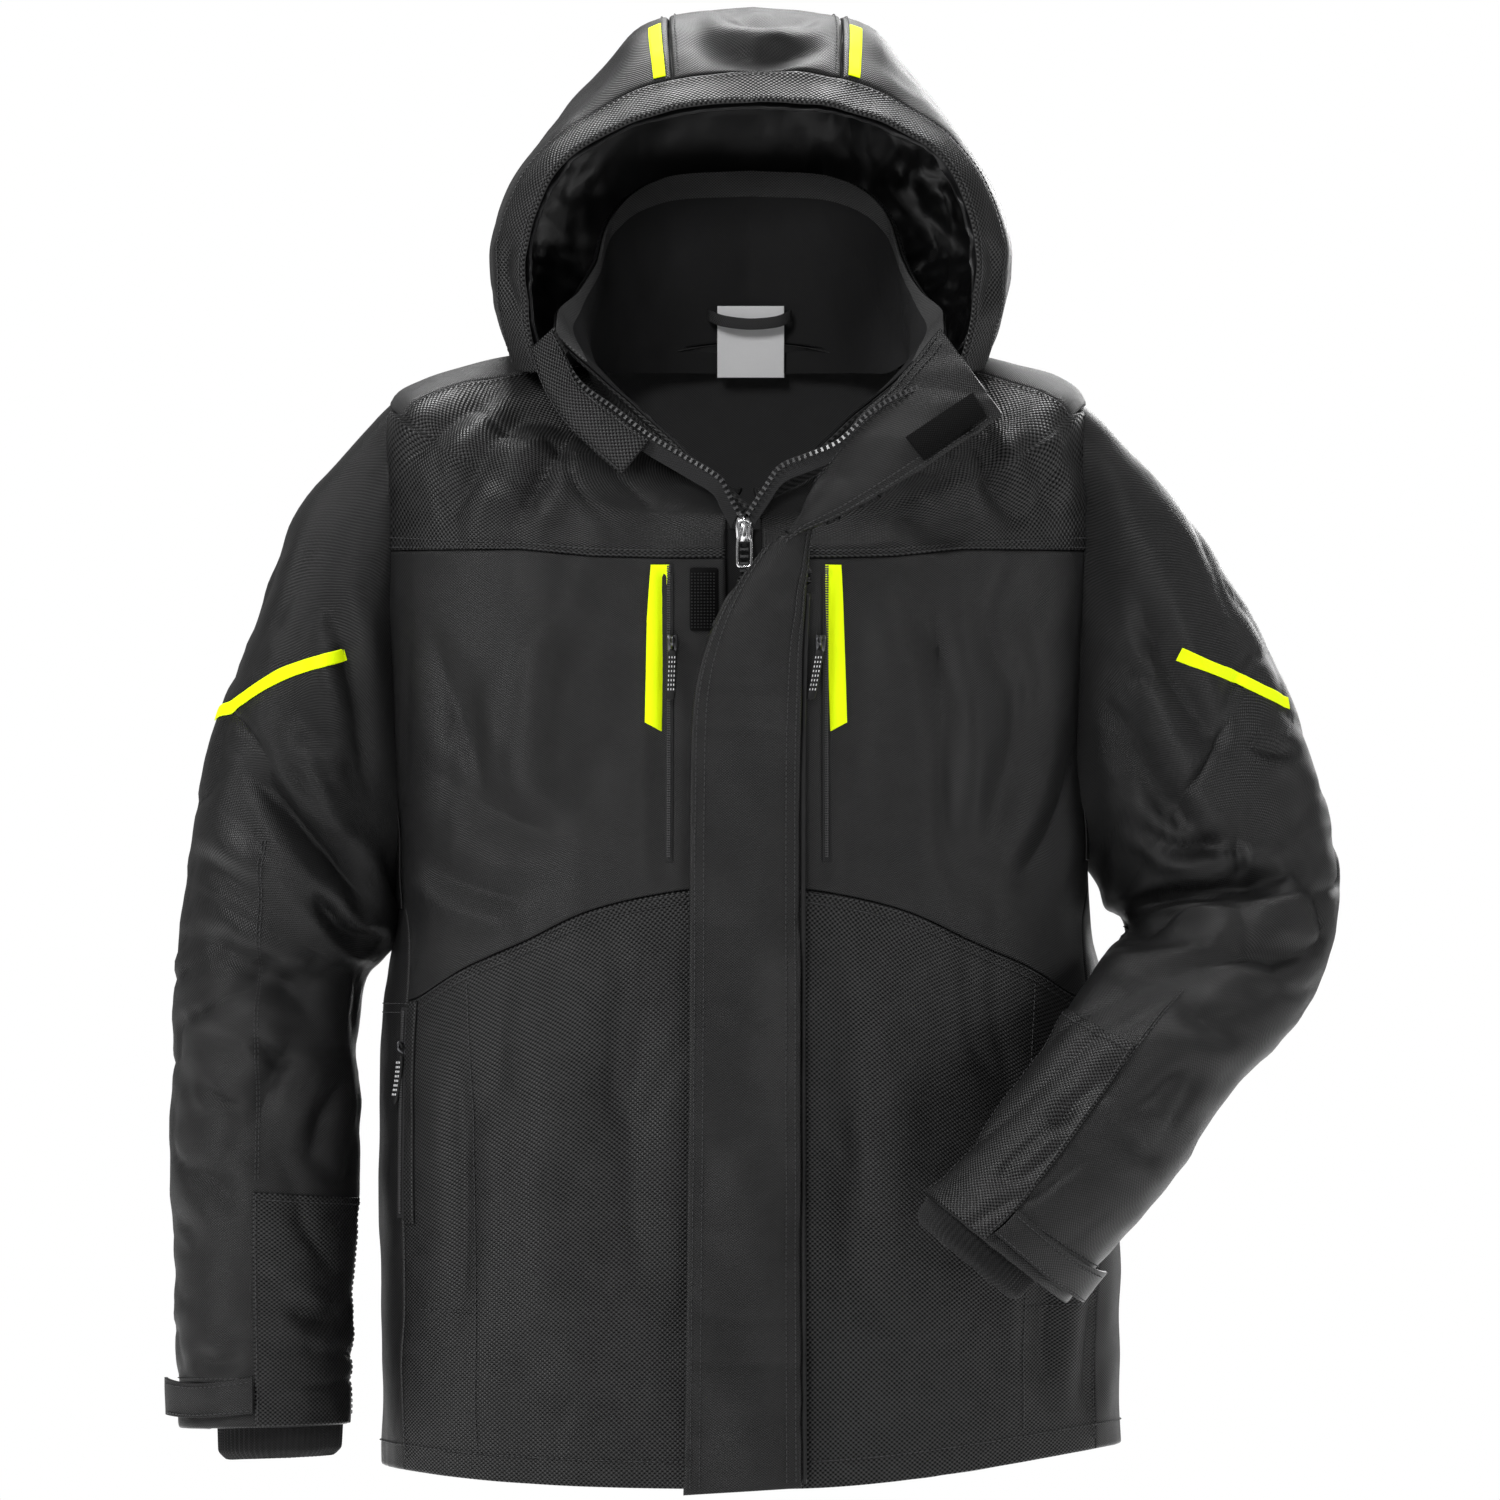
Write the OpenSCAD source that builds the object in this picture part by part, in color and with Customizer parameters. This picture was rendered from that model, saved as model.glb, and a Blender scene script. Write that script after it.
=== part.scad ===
// Hooded winter work coat, worn shape, empty, held up by its hang loop.
// X runs to the wearer's left, -Y is the front, +Z is up. Origin: the middle of the hang loop.
// Heights below are measured from the lowest edge of the storm flap.

/* [Body] */
// Half width of the coat at the hem
hem_half = 256; // [250:1:262]
// Half width of the coat at the chest
chest_half = 258; // [252:1:264]
// Half width over the shoulder tips
shoulder_half = 256; // [250:1:260]
// Half width of the neck seam
neck_half = 118; // [112:1:122]
// Depth from the middle of the coat to its front
front_depth = 135; // [134:1:138]
// Depth from the middle of the coat to its back
back_depth = 127; // [120:1:132]

/* [Sleeves] */
// Half thickness of the sleeve at the armhole, front to back
armhole_depth = 72; // [66:1:76]
// Half thickness of the sleeve at the cuff, front to back
cuff_depth = 55; // [50:1:58]

/* [Hood] */
// Half width of the hood at its widest
hood_half = 182; // [176:1:188]
// Height of the hood's crown
hood_top = 1038; // [1030:1:1050]

/* [Collar] */
// Height of the collar's top edge at the back
collar_top = 925; // [915:1:930]

/* [Fabric] */
// Thickness of the padded outer shell
shell = 4; // [3:0.5:4.5]
// Thickness of the lining
lining = 2; // [1.5:0.5:2.5]
// Space between shell and lining
padding = 3; // [2:0.5:3.5]

/* [Front closure] */
// Distance of the main zip from the coat's middle, to the wearer's right
zip_offset = 4; // [3:1:5]
// Length of one zip tooth and its gap
tooth_pitch = 5; // [4:0.5:6]
// Width of the storm flap
flap_width = 77; // [74:1:78]

/* [Zip pulls] */
// Length of a pocket zip's cord pull
pull_length = 43; // [36:1:46]

/* [Hidden] */

charcoal = [0.17, 0.17, 0.175];
coarse = [0.14, 0.14, 0.145];
dark = [0.09, 0.09, 0.095];
yellow = [0.82, 0.95, 0.05];
metal = [0.6, 0.6, 0.62];

right = -1;
left = 1;
origin = [0, 58, 820];
hem_z = 12;
yoke_z = 655;
armpit_z = 432;
gap = 0.4;
lining_out = -(shell + padding);
lining_in = lining_out - lining;

// ---------- tables: height or station first, then the values there ----------

// v, half width, front depth, back depth, height in front, at the side, at the back, boxiness.
// Up to the yoke v is the height; above it v runs over the shoulder to the neck seam.
body_table = [
    [12, hem_half, front_depth - 2, back_depth + 1, 12, 12, 12, 0.72],
    [140, hem_half, front_depth - 1, back_depth + 2, 140, 140, 140, 0.72],
    [340, hem_half - 3, front_depth, back_depth + 1, 340, 340, 340, 0.72],
    [400, chest_half - 13, front_depth, back_depth, 400, 400, 400, 0.72],
    [440, chest_half - 14, front_depth, back_depth, 440, 440, 440, 0.72],
    [500, chest_half - 6, front_depth, back_depth - 1, 500, 500, 500, 0.72],
    [655, chest_half, front_depth, back_depth - 3, 655, 655, 655, 0.72],
    [705, chest_half - 1, front_depth - 2, back_depth - 8, 666, 712, 704, 0.72],
    [755, shoulder_half, front_depth - 4, back_depth - 15, 676, 762, 745, 0.74],
    [855, 185, front_depth - 10, back_depth - 29, 690, 788, 792, 0.78],
    [955, neck_half, front_depth - 17, 80, 700, 800, 815, 0.82]
];
neck_v = 955;
shoulder_v = 755;

// Station, outer x and z, inner x and z, middle y, half thickness. Station 0 is the armhole.
sleeve_right_table = [
    [0, -258, 760, -244, 436, 0, armhole_depth],
    [1, -315, 682, -258, 415, 0, armhole_depth + 6],
    [2, -353, 595, -262, 402, 0, armhole_depth + 7],
    [3, -376, 528, -267, 386, 0, armhole_depth + 6],
    [4, -392, 448, -273, 364, -1, armhole_depth + 3],
    [5, -403, 350, -273, 335, -2, armhole_depth - 2],
    [6, -406, 273, -274, 266, -6, armhole_depth - 6],
    [7, -407, 203, -277, 195, -10, armhole_depth - 10],
    [8, -404, 133, -280, 130, -14, cuff_depth + 4],
    [9, -401, 75, -281, 76, -18, cuff_depth],
    [10, -400, 43, -282, 46, -20, cuff_depth],
    [11, -398, 11, -284, 16, -22, cuff_depth - 1]
];
sleeve_left_table = [
    [0, 258, 760, 244, 440, 0, armhole_depth],
    [1, 297, 705, 258, 424, 0, armhole_depth + 6],
    [2, 350, 630, 260, 408, 0, armhole_depth + 6],
    [3, 378, 560, 262, 402, -2, armhole_depth + 4],
    [4, 402, 483, 266, 397, -8, armhole_depth + 1],
    [5, 412, 420, 270, 393, -22, armhole_depth - 4],
    [6, 392, 343, 268, 386, -70, armhole_depth - 12],
    [7, 339, 283, 230, 343, -131, cuff_depth + 4],
    [8, 287, 210, 178, 273, -170, cuff_depth + 3],
    [9, 240, 156, 138, 223, -198, cuff_depth],
    [10, 220, 133, 122, 205, -206, cuff_depth],
    [11, 200, 110, 106, 187, -214, cuff_depth - 1]
];
elbow = 5;

// Station from front to back, y, half width, top height, bottom height.
hood_table = [
    [0, -98, hood_half - 12, 975, 806],
    [0.15, -72, hood_half - 4, 1003, 806],
    [0.35, -20, hood_half, hood_top - 2, 806],
    [0.55, 40, hood_half - 6, hood_top, 807],
    [0.75, 96, hood_half - 26, hood_top - 28, 812],
    [0.88, 126, hood_half - 60, hood_top - 84, 818],
    [0.96, 141, hood_half - 100, hood_top - 148, 822],
    [1, 150, hood_half - 146, hood_top - 200, 824]
];
// Share of the arch from its foot to its crown, half width, height.
arch_table = [[0, 0.86, 0], [0.15, 0.97, 0.17], [0.3, 1, 0.32], [0.45, 0.93, 0.5],
    [0.6, 0.77, 0.68], [0.75, 0.58, 0.84], [0.85, 0.44, 0.95], [0.93, 0.25, 0.99], [1, 0, 1]];
peak_end = 0.14;
centre_half = 0.16;

// Share from the back middle to the front end: x, y and z of the base, then of the top edge.
collar_table = [
    [0, 0, 80, 819, 0, 88, collar_top],
    [0.25, 74, 62, 817, 70, 74, collar_top - 8],
    [0.5, 114, 5, 806, 108, 12, collar_top - 45],
    [0.7, 104, -66, 770, 122, -42, collar_top - 77],
    [0.85, 70, -104, 733, 131, -78, collar_top - 100],
    [1, 16, -133, 702, 132, -106, collar_top - 122]
];

// Share from bottom to top: free edge, then the edge along the zip.
flap_top_table = [
    [0, -40, -144, 512, 36, -144, 512],
    [0.2, -36, -146, 560, 37, -144, 575],
    [0.4, -16, -149, 622, 38, -144, 640],
    [0.55, 21, -151, 661, 42, -145, 690],
    [0.7, 70, -152, 684, 66, -144, 738],
    [0.85, 115, -150, 712, 104, -136, 764],
    [1, 175, -140, 752, 138, -120, 800]
];

// ---------- surfaces ----------

function at(table, i, t) = lookup(t, [for (row = table) [row[0], row[i]]]);
function triple(table, i, t) = [at(table, i, t), at(table, i + 1, t), at(table, i + 2, t)];
function mix(a, b, t) = a + (b - a) * t;
function boxy(v, e) = sign(v) * pow(abs(v), e);

// Angle 0 is the front middle and 90 the wearer's left side.
function body_at(angle, v) = let (
    s = sin(angle), c = cos(angle), e = at(body_table, 7, v),
    depth = c > 0 ? at(body_table, 2, v) : at(body_table, 3, v),
    end_z = c > 0 ? at(body_table, 4, v) : at(body_table, 6, v)
) [at(body_table, 1, v) * boxy(s, e), -depth * boxy(c, e), end_z * c * c + at(body_table, 5, v) * s * s];

// Angle 0 is the wearer's right edge of the ring as seen from the front, 90 its front.
function sleeve_at(table, side, angle, station) = let (
    outer = [at(table, 1, station), at(table, 2, station)],
    inner = [at(table, 3, station), at(table, 4, station)],
    reach = (outer - inner) / 2 * -side,
    p = (outer + inner) / 2 + reach * cos(angle)
) [p[0], at(table, 5, station) - at(table, 6, station) * sin(angle), p[1]];

// u runs from the right foot (-1) over the crown (0) to the left foot (1).
function hood_at(u, t) = let (
    q = 1 - abs(u), low = at(hood_table, 4, t), high = at(hood_table, 3, t)
) [sign(u) * at(hood_table, 2, t) * at(arch_table, 1, q), at(hood_table, 1, t),
    mix(low, high, at(arch_table, 2, q))];

// u runs from the left front end (-1) round the back (0) to the right front end (1).
function collar_at(u, h) = let (
    p = mix(triple(collar_table, 1, abs(u)), triple(collar_table, 4, abs(u)), h)
) [-sign(u) * p[0], p[1], p[2]];

function flap_top_at(u, v) = mix(triple(flap_top_table, 1, v), triple(flap_top_table, 4, v), u);

body = function (u, v) body_at(u, v);
sleeve_right = function (u, v) sleeve_at(sleeve_right_table, right, u, -v);
sleeve_left = function (u, v) sleeve_at(sleeve_left_table, left, u, -v);
hood = function (u, v) hood_at(u, v);
collar = function (u, v) collar_at(u, v);
turned_flap = function (u, v) flap_top_at(u, v);

// A point of surface f at (u, v), moved out along the surface's normal.
function lifted(f, u, v, step, out) = let (
    across = f(u + step[0], v) - f(u - step[0], v),
    along = f(u, v + step[1]) - f(u, v - step[1]),
    n = cross(across, along)
) f(u, v) + out * n / norm(n);

body_step = [0.6, 4];
sleeve_step = [2, 0.05];
hood_step = [0.01, 0.02];
collar_step = [0.01, 0.05];

function steps(a, b, n) = [for (i = [0:n]) a + (b - a) * i / n];
function level(z) = function (u) z;

// ---------- solids made from surfaces ----------

function six_volumes(points, tris) =
    [for (t = tris) points[t[0]] * cross(points[t[1]], points[t[2]])] *
    [for (t = tris) 1];
function turned(tri) = [tri[2], tri[1], tri[0]];

// A closed sheet between two grids of points. wrap joins the first column to the last.
module sheet(outer, inner, wrap = false) {
    columns = len(outer);
    rows = len(outer[0]);
    n = columns * rows;
    points = [for (g = [outer, inner]) for (column = g) for (p = column) p];
    last = wrap ? columns - 1 : columns - 2;
    faces = [for (i = [0:last]) for (j = [0:rows - 2])
        let (a = i * rows + j, b = ((i + 1) % columns) * rows + j) [a, b, b + 1, a + 1]];
    backs = [for (q = faces) [q[2] + n, q[1] + n, q[0] + n, q[3] + n]];
    feet = [for (i = [0:last]) for (j = [0, rows - 1])
        let (a = i * rows + j, b = ((i + 1) % columns) * rows + j)
        j == 0 ? [a, a + n, b + n, b] : [b, b + n, a + n, a]];
    sides = wrap ? [] : [for (j = [0:rows - 2]) for (i = [0, columns - 1])
        let (a = i * rows + j) i == 0 ? [a + 1, a + 1 + n, a + n, a] : [a, a + n, a + n + 1, a + 1]];
    tris = [for (q = concat(faces, backs, feet, sides))
        each [[q[0], q[1], q[2]], [q[0], q[2], q[3]]]];
    outward = six_volumes(points, tris) > 0;
    polyhedron(points, outward ? [for (t = tris) turned(t)] : tris);
}

// The piece of surface f with u in us and v from lo(u) to hi(u), between two offsets.
module patch(f, us, lo, hi, rows, out, in, step, wrap = false) {
    sheet([for (u = us) [for (k = steps(0, 1, rows)) lifted(f, u, mix(lo(u), hi(u), k), step, out)]],
        [for (u = us) [for (k = steps(0, 1, rows)) lifted(f, u, mix(lo(u), hi(u), k), step, in)]], wrap);
}

module placed() {
    translate(-origin) children();
}

module mirrored(side) {
    if (side == left) children();
    else mirror([1, 0, 0]) children();
}

// ---------- body panels ----------

side_angle = 66;
back_angle = 180 - side_angle;
zip_edge = [1.3, 0.5];     // the front panels' inner edge angles, right and left
seam_angle = 0.2;

function front_us(side, n) = side == left ?
    steps(zip_edge[1], side_angle - seam_angle, n) : steps(-side_angle + seam_angle, -zip_edge[0], n);
// The seam between chest and lower panel rises from the side to the middle.
waist_seam = function (u) lookup(abs(u), [[0, 423], [8, 417], [22, 400], [40, 372], [66, 343]]);
waist_top = function (u) waist_seam(u) + gap;
waist_bottom = function (u) waist_seam(u) - gap;

module front_yoke(side)
    color(coarse) placed()
        patch(body, front_us(side, 8), level(yoke_z + gap), level(neck_v), 6, 0, -shell, body_step);

module chest_panel(side)
    color(charcoal) placed()
        patch(body, front_us(side, 8), waist_top, level(yoke_z - gap), 4, 0, -shell, body_step);

module lower_panel(side)
    color(coarse) placed()
        patch(body, front_us(side, 8), level(hem_z), waist_bottom, 4, 0, -shell, body_step);

module side_panel(side)
    color(charcoal) placed() mirrored(side)
        patch(body, steps(side_angle + seam_angle, back_angle - seam_angle, 6), level(hem_z),
            level(armpit_z), 4, 0, -shell, body_step);

module back_panel()
    color(charcoal) placed()
        patch(body, steps(back_angle + seam_angle, 360 - back_angle - seam_angle, 16), level(hem_z),
            level(yoke_z - gap), 6, 0, -shell, body_step);

// The yoke behind runs to the front shoulder seam over the armhole.
module back_yoke()
    color(coarse) placed() {
        patch(body, steps(back_angle + seam_angle, 360 - back_angle - seam_angle, 16),
            level(yoke_z + gap), level(neck_v), 6, 0, -shell, body_step);
        for (side = [left, right]) mirrored(side)
            patch(body, steps(side_angle + seam_angle, back_angle - seam_angle, 4),
                level(shoulder_v), level(neck_v), 4, 0, -shell, body_step);
    }

module hem_facing()
    color(dark) placed()
        patch(body, steps(3, 357, 28), level(hem_z + 1), level(hem_z + 34), 1,
            -shell - 1.4, -shell - 2.6, body_step);

module body_lining()
    color(dark) placed() {
        patch(body, steps(4, 356, 28), level(hem_z + 40), level(armpit_z - 8), 3,
            lining_out, lining_in, body_step);
        patch(body, steps(4, side_angle - 1, 5), level(armpit_z - 7), level(yoke_z + 24), 2,
            lining_out, lining_in, body_step);
        patch(body, steps(back_angle + 1, 359 - back_angle, 12), level(armpit_z - 7), level(neck_v - 2), 5,
            lining_out, lining_in, body_step);
        patch(body, steps(361 - side_angle, 356, 5), level(armpit_z - 7), level(yoke_z + 24), 2,
            lining_out, lining_in, body_step);
    }

// ---------- collar, label and loop ----------

collar_foot_h = 0.15;   // clear of the neck seam's edge
module collar_shell()
    color(coarse) placed()
        patch(collar, steps(-1, 1, 20), level(collar_foot_h), level(1), 2, 3, 0.5, collar_step);

module collar_lining()
    color(charcoal) placed()
        patch(collar, steps(-1, 1, 20), level(collar_foot_h), level(1), 2, -0.2, -2.5, collar_step);

label_width = 45;
label_height = 50;
module neck_label()
    color([0.72, 0.72, 0.72]) placed()
        translate([-label_width / 2, 66, 829 - label_height]) cube([label_width, 0.8, label_height]);

loop_span = 54;
loop_reach = 16;
loop_band = 1.4;
module hang_loop()
    color(dark) placed()
        translate([0, 66, 815]) linear_extrude(10)
            difference() {
                translate([-loop_span / 2, -loop_reach]) square([loop_span, loop_reach + 4]);
                translate([-loop_span / 2 + loop_band, -loop_reach + loop_band])
                    square([loop_span - 2 * loop_band, loop_reach + 4]);
            }

// ---------- main zip ----------

zip_x = -zip_offset;
chain_y = -front_depth + 5;
chain_top = 672;
chain_bottom = 48;
tooth_depth = 4;
chain_half = 2.5;
tape_y = chain_y + chain_half + 0.6;

module zip_tape(side)
    color(dark) placed()
        translate([zip_x + (side == left ? 1.2 : -20), tape_y, hem_z + 5])
            cube([18.8, 1.2, chain_top - hem_z - 5]);

// One side of the chain: a bead with square teeth along +Y, from the origin.
module tooth_row(length) {
    count = floor(length / tooth_pitch);
    linear_extrude(2 * chain_half) polygon(concat(
        [[0, 0]],
        [for (i = [0:count - 1]) each [
            [tooth_depth - 1.6, i * tooth_pitch], [tooth_depth, i * tooth_pitch],
            [tooth_depth, (i + 0.5) * tooth_pitch], [tooth_depth - 1.6, (i + 0.5) * tooth_pitch]]],
        [[tooth_depth - 1.6, count * tooth_pitch], [0, count * tooth_pitch]]));
}

// The right front end of the collar, where the open chain runs up beside its edge.
collar_foot = [-16, -133, 702];
collar_tip = [-132, -106, 803];
open_run = collar_tip - collar_foot;
open_tilt = atan2(-open_run[0], open_run[2]);
open_slope = atan2(open_run[1], norm([open_run[0], open_run[2]]));

module zip_teeth(side)
    color(metal) placed() {
        translate([zip_x, chain_y + chain_half, 0]) mirrored(side)
            translate([0.6 + tooth_depth, 0, chain_bottom]) rotate([90, 0, 0]) mirror([1, 0, 0])
                tooth_row(chain_top - chain_bottom - 6);
        mirrored(side == left ? right : left) translate(collar_foot + [9, -4, -6])
            rotate([0, -open_tilt, 0]) rotate([90 + -open_slope, 0, 0]) tooth_row(norm(open_run) - 6);
    }

module zip_box()
    color(metal) placed()
        translate([zip_x - 6, chain_y - 3, chain_bottom - 20]) cube([12, 6, 18]);

// ---------- sliders and pulls ----------

pin_radius = 1;
eye_radius = 1.3;

// A slider's front plate with its bridge: the pin lies along X at the origin, and +Z is up.
module bridge(width, top) {
    for (x = [-1, 1]) translate([x * (width / 2 - 0.6) - 0.6, -pin_radius - 0.6, -1.5])
        cube([1.2, top + pin_radius + 0.6, 3]);
    rotate([0, 90, 0]) cylinder(r = pin_radius, h = width, center = true, $fn = 32);
}

main_slider_y = chain_y - chain_half - 1;
main_pin_y = main_slider_y - 4.6;
module main_slider()
    color(metal) placed() translate([zip_x, 0, chain_top]) {
        translate([-8, main_slider_y - 2, -11]) cube([16, 2, 22]);
        translate([-6, tape_y + 1.6, -11]) cube([12, 1.8, 19]);
        translate([-0.4, main_slider_y - 0.5, 3]) cube([0.8, tape_y + 2.6 - main_slider_y, 7]);
        translate([0, main_pin_y, 4]) bridge(7, 4);
    }

// A flat pull: an eye round the pin, and a tab that hangs below it.
module flat_pull(width, length, thick) {
    difference() {
        union() {
            rotate([0, 90, 0]) cylinder(r = eye_radius + 0.9, h = 3.6, center = true, $fn = 48);
            translate([-1.5, -thick / 2, -8]) cube([3, thick, 7]);
            translate([-width / 2, -thick / 2, -length]) cube([width, thick, length - 7]);
        }
        rotate([0, 90, 0]) cylinder(r = eye_radius, h = 8, center = true, $fn = 48);
        translate([-width / 2 + 2, -thick, -length + 3]) cube([width - 4, 2 * thick, length - 15]);
    }
}

module main_pull()
    color(metal) placed() translate([zip_x, main_pin_y, chain_top + 4])
        flat_pull(9, 30, 1.6);

// Pocket zips: the pin's place at rest.
function chest_x(side) = side == left ? 49 : 54;
chest_pin = [0, -front_depth - 6.3, 594];
hand_pin = [244.5, -73.6, 311];
hand_turn = 58;
pocket_sides = [right, left];

module pocket_slider() {
    translate([-4.5, 2.5, -9]) cube([9, 1.6, 14]);
    bridge(7, 2.8);
}

module cord_pull() {
    difference() {
        union() {
            rotate([0, 90, 0]) cylinder(r = eye_radius + 0.8, h = 3.4, center = true, $fn = 48);
            translate([-1.2, -1, -6]) cube([2.4, 2, 4.6]);
            translate([-3, -1.5, -pull_length]) cube([6, 3, pull_length - 5.5]);
        }
        rotate([0, 90, 0]) cylinder(r = eye_radius, h = 8, center = true, $fn = 48);
    }
}

module at_chest(side) placed() translate([side * chest_x(side), chest_pin[1], chest_pin[2]]) children();
module at_hand(side)
    placed() translate([side * hand_pin[0], hand_pin[1], hand_pin[2]]) rotate([0, 0, side * hand_turn])
        children();
module chest_slider(side) color(metal) at_chest(side) pocket_slider();
module chest_pull(side) color(dark) at_chest(side) cord_pull();
module hand_slider(side) color(metal) at_hand(side) pocket_slider();
module hand_pull(side) color(dark) at_hand(side) cord_pull();

// ---------- pockets ----------

module chest_zips()
    color(dark) placed() for (side = pocket_sides)
        translate([side * chest_x(side) - 3, -front_depth - 1.6, 440]) cube([6, 1, 205]);

module chest_stripes()
    color(yellow) placed() for (side = pocket_sides)
        translate([side * (chest_x(side) + 10), -front_depth - 0.6, 530]) rotate([90, 0, 0])
            linear_extrude(1) polygon([[-4 * side, 0], [8 * side, 10], [6 * side, 116], [-6 * side, 116]]);

module chest_pocket_bags()
    color(dark) placed() for (side = pocket_sides)
        translate([side > 0 ? 62 : -156, -front_depth + 29, 470]) cube([94, 1.2, 165]);

module hand_zips()
    color(dark) for (side = pocket_sides)
        at_hand(side) translate([-5, 4.4, -115]) cube([10, 0.8, 140]);

module hand_pocket_bags()
    color(dark) placed() for (side = pocket_sides)
        translate([side > 0 ? 28 : -156, -front_depth + 29, 140]) cube([128, 1.2, 190]);

// ---------- storm flap ----------

flap_y = -front_depth - 9.5;
flap_hinge_x = 37;
flap_thick = 3;
flap_height = 508;
module storm_flap()
    color(charcoal) placed()
        translate([flap_hinge_x - 2 - flap_width, flap_y - flap_thick / 2, 0])
            cube([flap_width, flap_thick, flap_height]);

module flap_hook_patches()
    color(dark) placed() for (z = [40, 190, 340])
        translate([-38, flap_y + flap_thick / 2, z]) cube([18, 0.8, 70]);

module loop_patches()
    color(dark) placed() for (z = [40, 190, 340, 605])
        translate([-38, -front_depth - 1.4, z]) cube([18, 1.1, z > 600 ? 48 : 70]);

module flap_piping()
    color(charcoal) placed()
        translate([flap_hinge_x + 1.2, flap_y + 1.9, 4]) cube([4, 6.6, 500]);

module flap_top()
    color(charcoal) placed()
        patch(turned_flap, steps(0, 1, 2), level(0), level(1), 10, 1.2, -1.2, [0.05, 0.03]);

// ---------- hood ----------

module hood_panel(us, t0, t1, rows)
    patch(hood, us, level(t0), level(t1), rows, 0, -shell + 1, hood_step);

module hood_peak() color(coarse) placed() hood_panel(steps(-0.995, 0.995, 24), 0, peak_end, 2);
module hood_centre()
    color(charcoal) placed() hood_panel(steps(-centre_half, centre_half, 4), peak_end + 0.004, 1, 9);
module hood_side(side)
    color(charcoal) placed() mirrored(side)
        hood_panel(steps(centre_half + 0.004, 0.995, 10), peak_end + 0.004, 1, 9);
module hood_lining()
    color(dark) placed()
        patch(hood, steps(-0.985, 0.985, 24), level(0.02), level(0.985), 9, -7, -8.6, hood_step);
module hood_stripes()
    color(yellow) placed() for (side = [left, right]) mirrored(side)
        patch(hood, steps(0.11, 0.135, 1), level(0.16), level(0.36), 3, 2.2, 1.2, hood_step);

// ---------- sleeves ----------

function sleeve_of(side) = side == left ? sleeve_left : sleeve_right;
ring = steps(0, 345, 23);
// The front of a ring is at 90 degrees; the outer side is at 0 on the right and 180 on the left.
function round_from_outer(side, degrees) = side == left ? 180 - degrees : degrees;

module sleeve_tube(side, from, to, rows, out, in)
    patch(sleeve_of(side), ring, level(-to), level(-from), rows, out, in, sleeve_step, wrap = true);
module sleeve_patch(side, start, end, columns, from, to, rows, out, in)
    patch(sleeve_of(side), steps(round_from_outer(side, start), round_from_outer(side, end), columns),
        level(-to), level(-from), rows, out, in, sleeve_step);

module sleeve_upper(side) color(charcoal) placed() sleeve_tube(side, 0, elbow - 0.05, 6, 0, -shell);
module sleeve_lower(side) color(charcoal) placed() sleeve_tube(side, elbow + 0.05, 10, 6, 0, -shell);
// The sleeve's front seam, where the wrist patch meets the cuff tab.
function seam_angle_of(side) = side == left ? 100 : 85;
module wrist_patch(side)
    color(coarse) placed()
        sleeve_patch(side, seam_angle_of(side), 170, 7, 7.35, 9.95, 3, 3, 1.6);
module knit_cuff(side)
    color(dark) placed() sleeve_tube(side, 9.5, 10.7, 2, -9, -12);
module cuff_tab(side)
    color(charcoal) placed()
        sleeve_patch(side, 8, seam_angle_of(side) - 2, 6, 9.05, 9.75, 1, 5.5, 2.5);
module sleeve_stripe(side)
    color(yellow) placed() patch(sleeve_of(side),
        steps(round_from_outer(side, 8), round_from_outer(side, stripe_reach), 7),
        function (u) stripe_station(side, u) - 0.1, function (u) stripe_station(side, u) + 0.1, 1, 3, 2,
        sleeve_step);
// The stripe runs down from the front middle near the armhole to the outer side.
stripe_reach = 74;
function stripe_station(side, u) = let (share = ((side == left ? 180 - u : u) - 8) / (stripe_reach - 8))
    side == left ? mix(-3.05, -1.5, share) : mix(-2.85, -0.95, share);

// ---------- drawing ----------

back_yoke();
back_panel();
front_yoke(right);  // front_yoke_right
front_yoke(left);  // front_yoke_left
chest_panel(right);  // chest_panel_right
chest_panel(left);  // chest_panel_left
lower_panel(right);  // lower_panel_right
lower_panel(left);  // lower_panel_left
side_panel(right);  // side_panel_right
side_panel(left);  // side_panel_left
hem_facing();
body_lining();
collar_shell();
collar_lining();
neck_label();
hang_loop();
zip_tape(right);  // zip_tape_right
zip_tape(left);  // zip_tape_left
zip_teeth(right);  // zip_teeth_right
zip_teeth(left);  // zip_teeth_left
zip_box();
flap_piping();
flap_top();
loop_patches();
chest_stripes();
chest_zips();
chest_pocket_bags();
hand_zips();
hand_pocket_bags();
hood_centre();
hood_side(right);  // hood_side_right
hood_side(left);  // hood_side_left
hood_peak();
hood_lining();
hood_stripes();
main_slider();
main_pull();
chest_slider(right);  // chest_slider_right
chest_slider(left);  // chest_slider_left
chest_pull(right);  // chest_pull_right
chest_pull(left);  // chest_pull_left
hand_slider(right);  // hand_slider_right
hand_slider(left);  // hand_slider_left
hand_pull(right);  // hand_pull_right
hand_pull(left);  // hand_pull_left
storm_flap();
flap_hook_patches();
sleeve_upper(right);  // sleeve_upper_right
sleeve_lower(right);  // sleeve_lower_right
wrist_patch(right);  // wrist_patch_right
knit_cuff(right);  // knit_cuff_right
cuff_tab(right);  // cuff_tab_right
sleeve_stripe(right);  // sleeve_stripe_right
sleeve_upper(left);  // sleeve_upper_left
sleeve_lower(left);  // sleeve_lower_left
wrist_patch(left);  // wrist_patch_left
knit_cuff(left);  // knit_cuff_left
cuff_tab(left);  // cuff_tab_left
sleeve_stripe(left);  // sleeve_stripe_left
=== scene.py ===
"""The looks of a hooded winter work coat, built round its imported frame.

Shapes are worked out in design millimetres: x to the wearer's left, -y to the front, z up from the
storm flap's lowest edge. placed() turns them into the row frame's metres.
"""

import math

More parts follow.
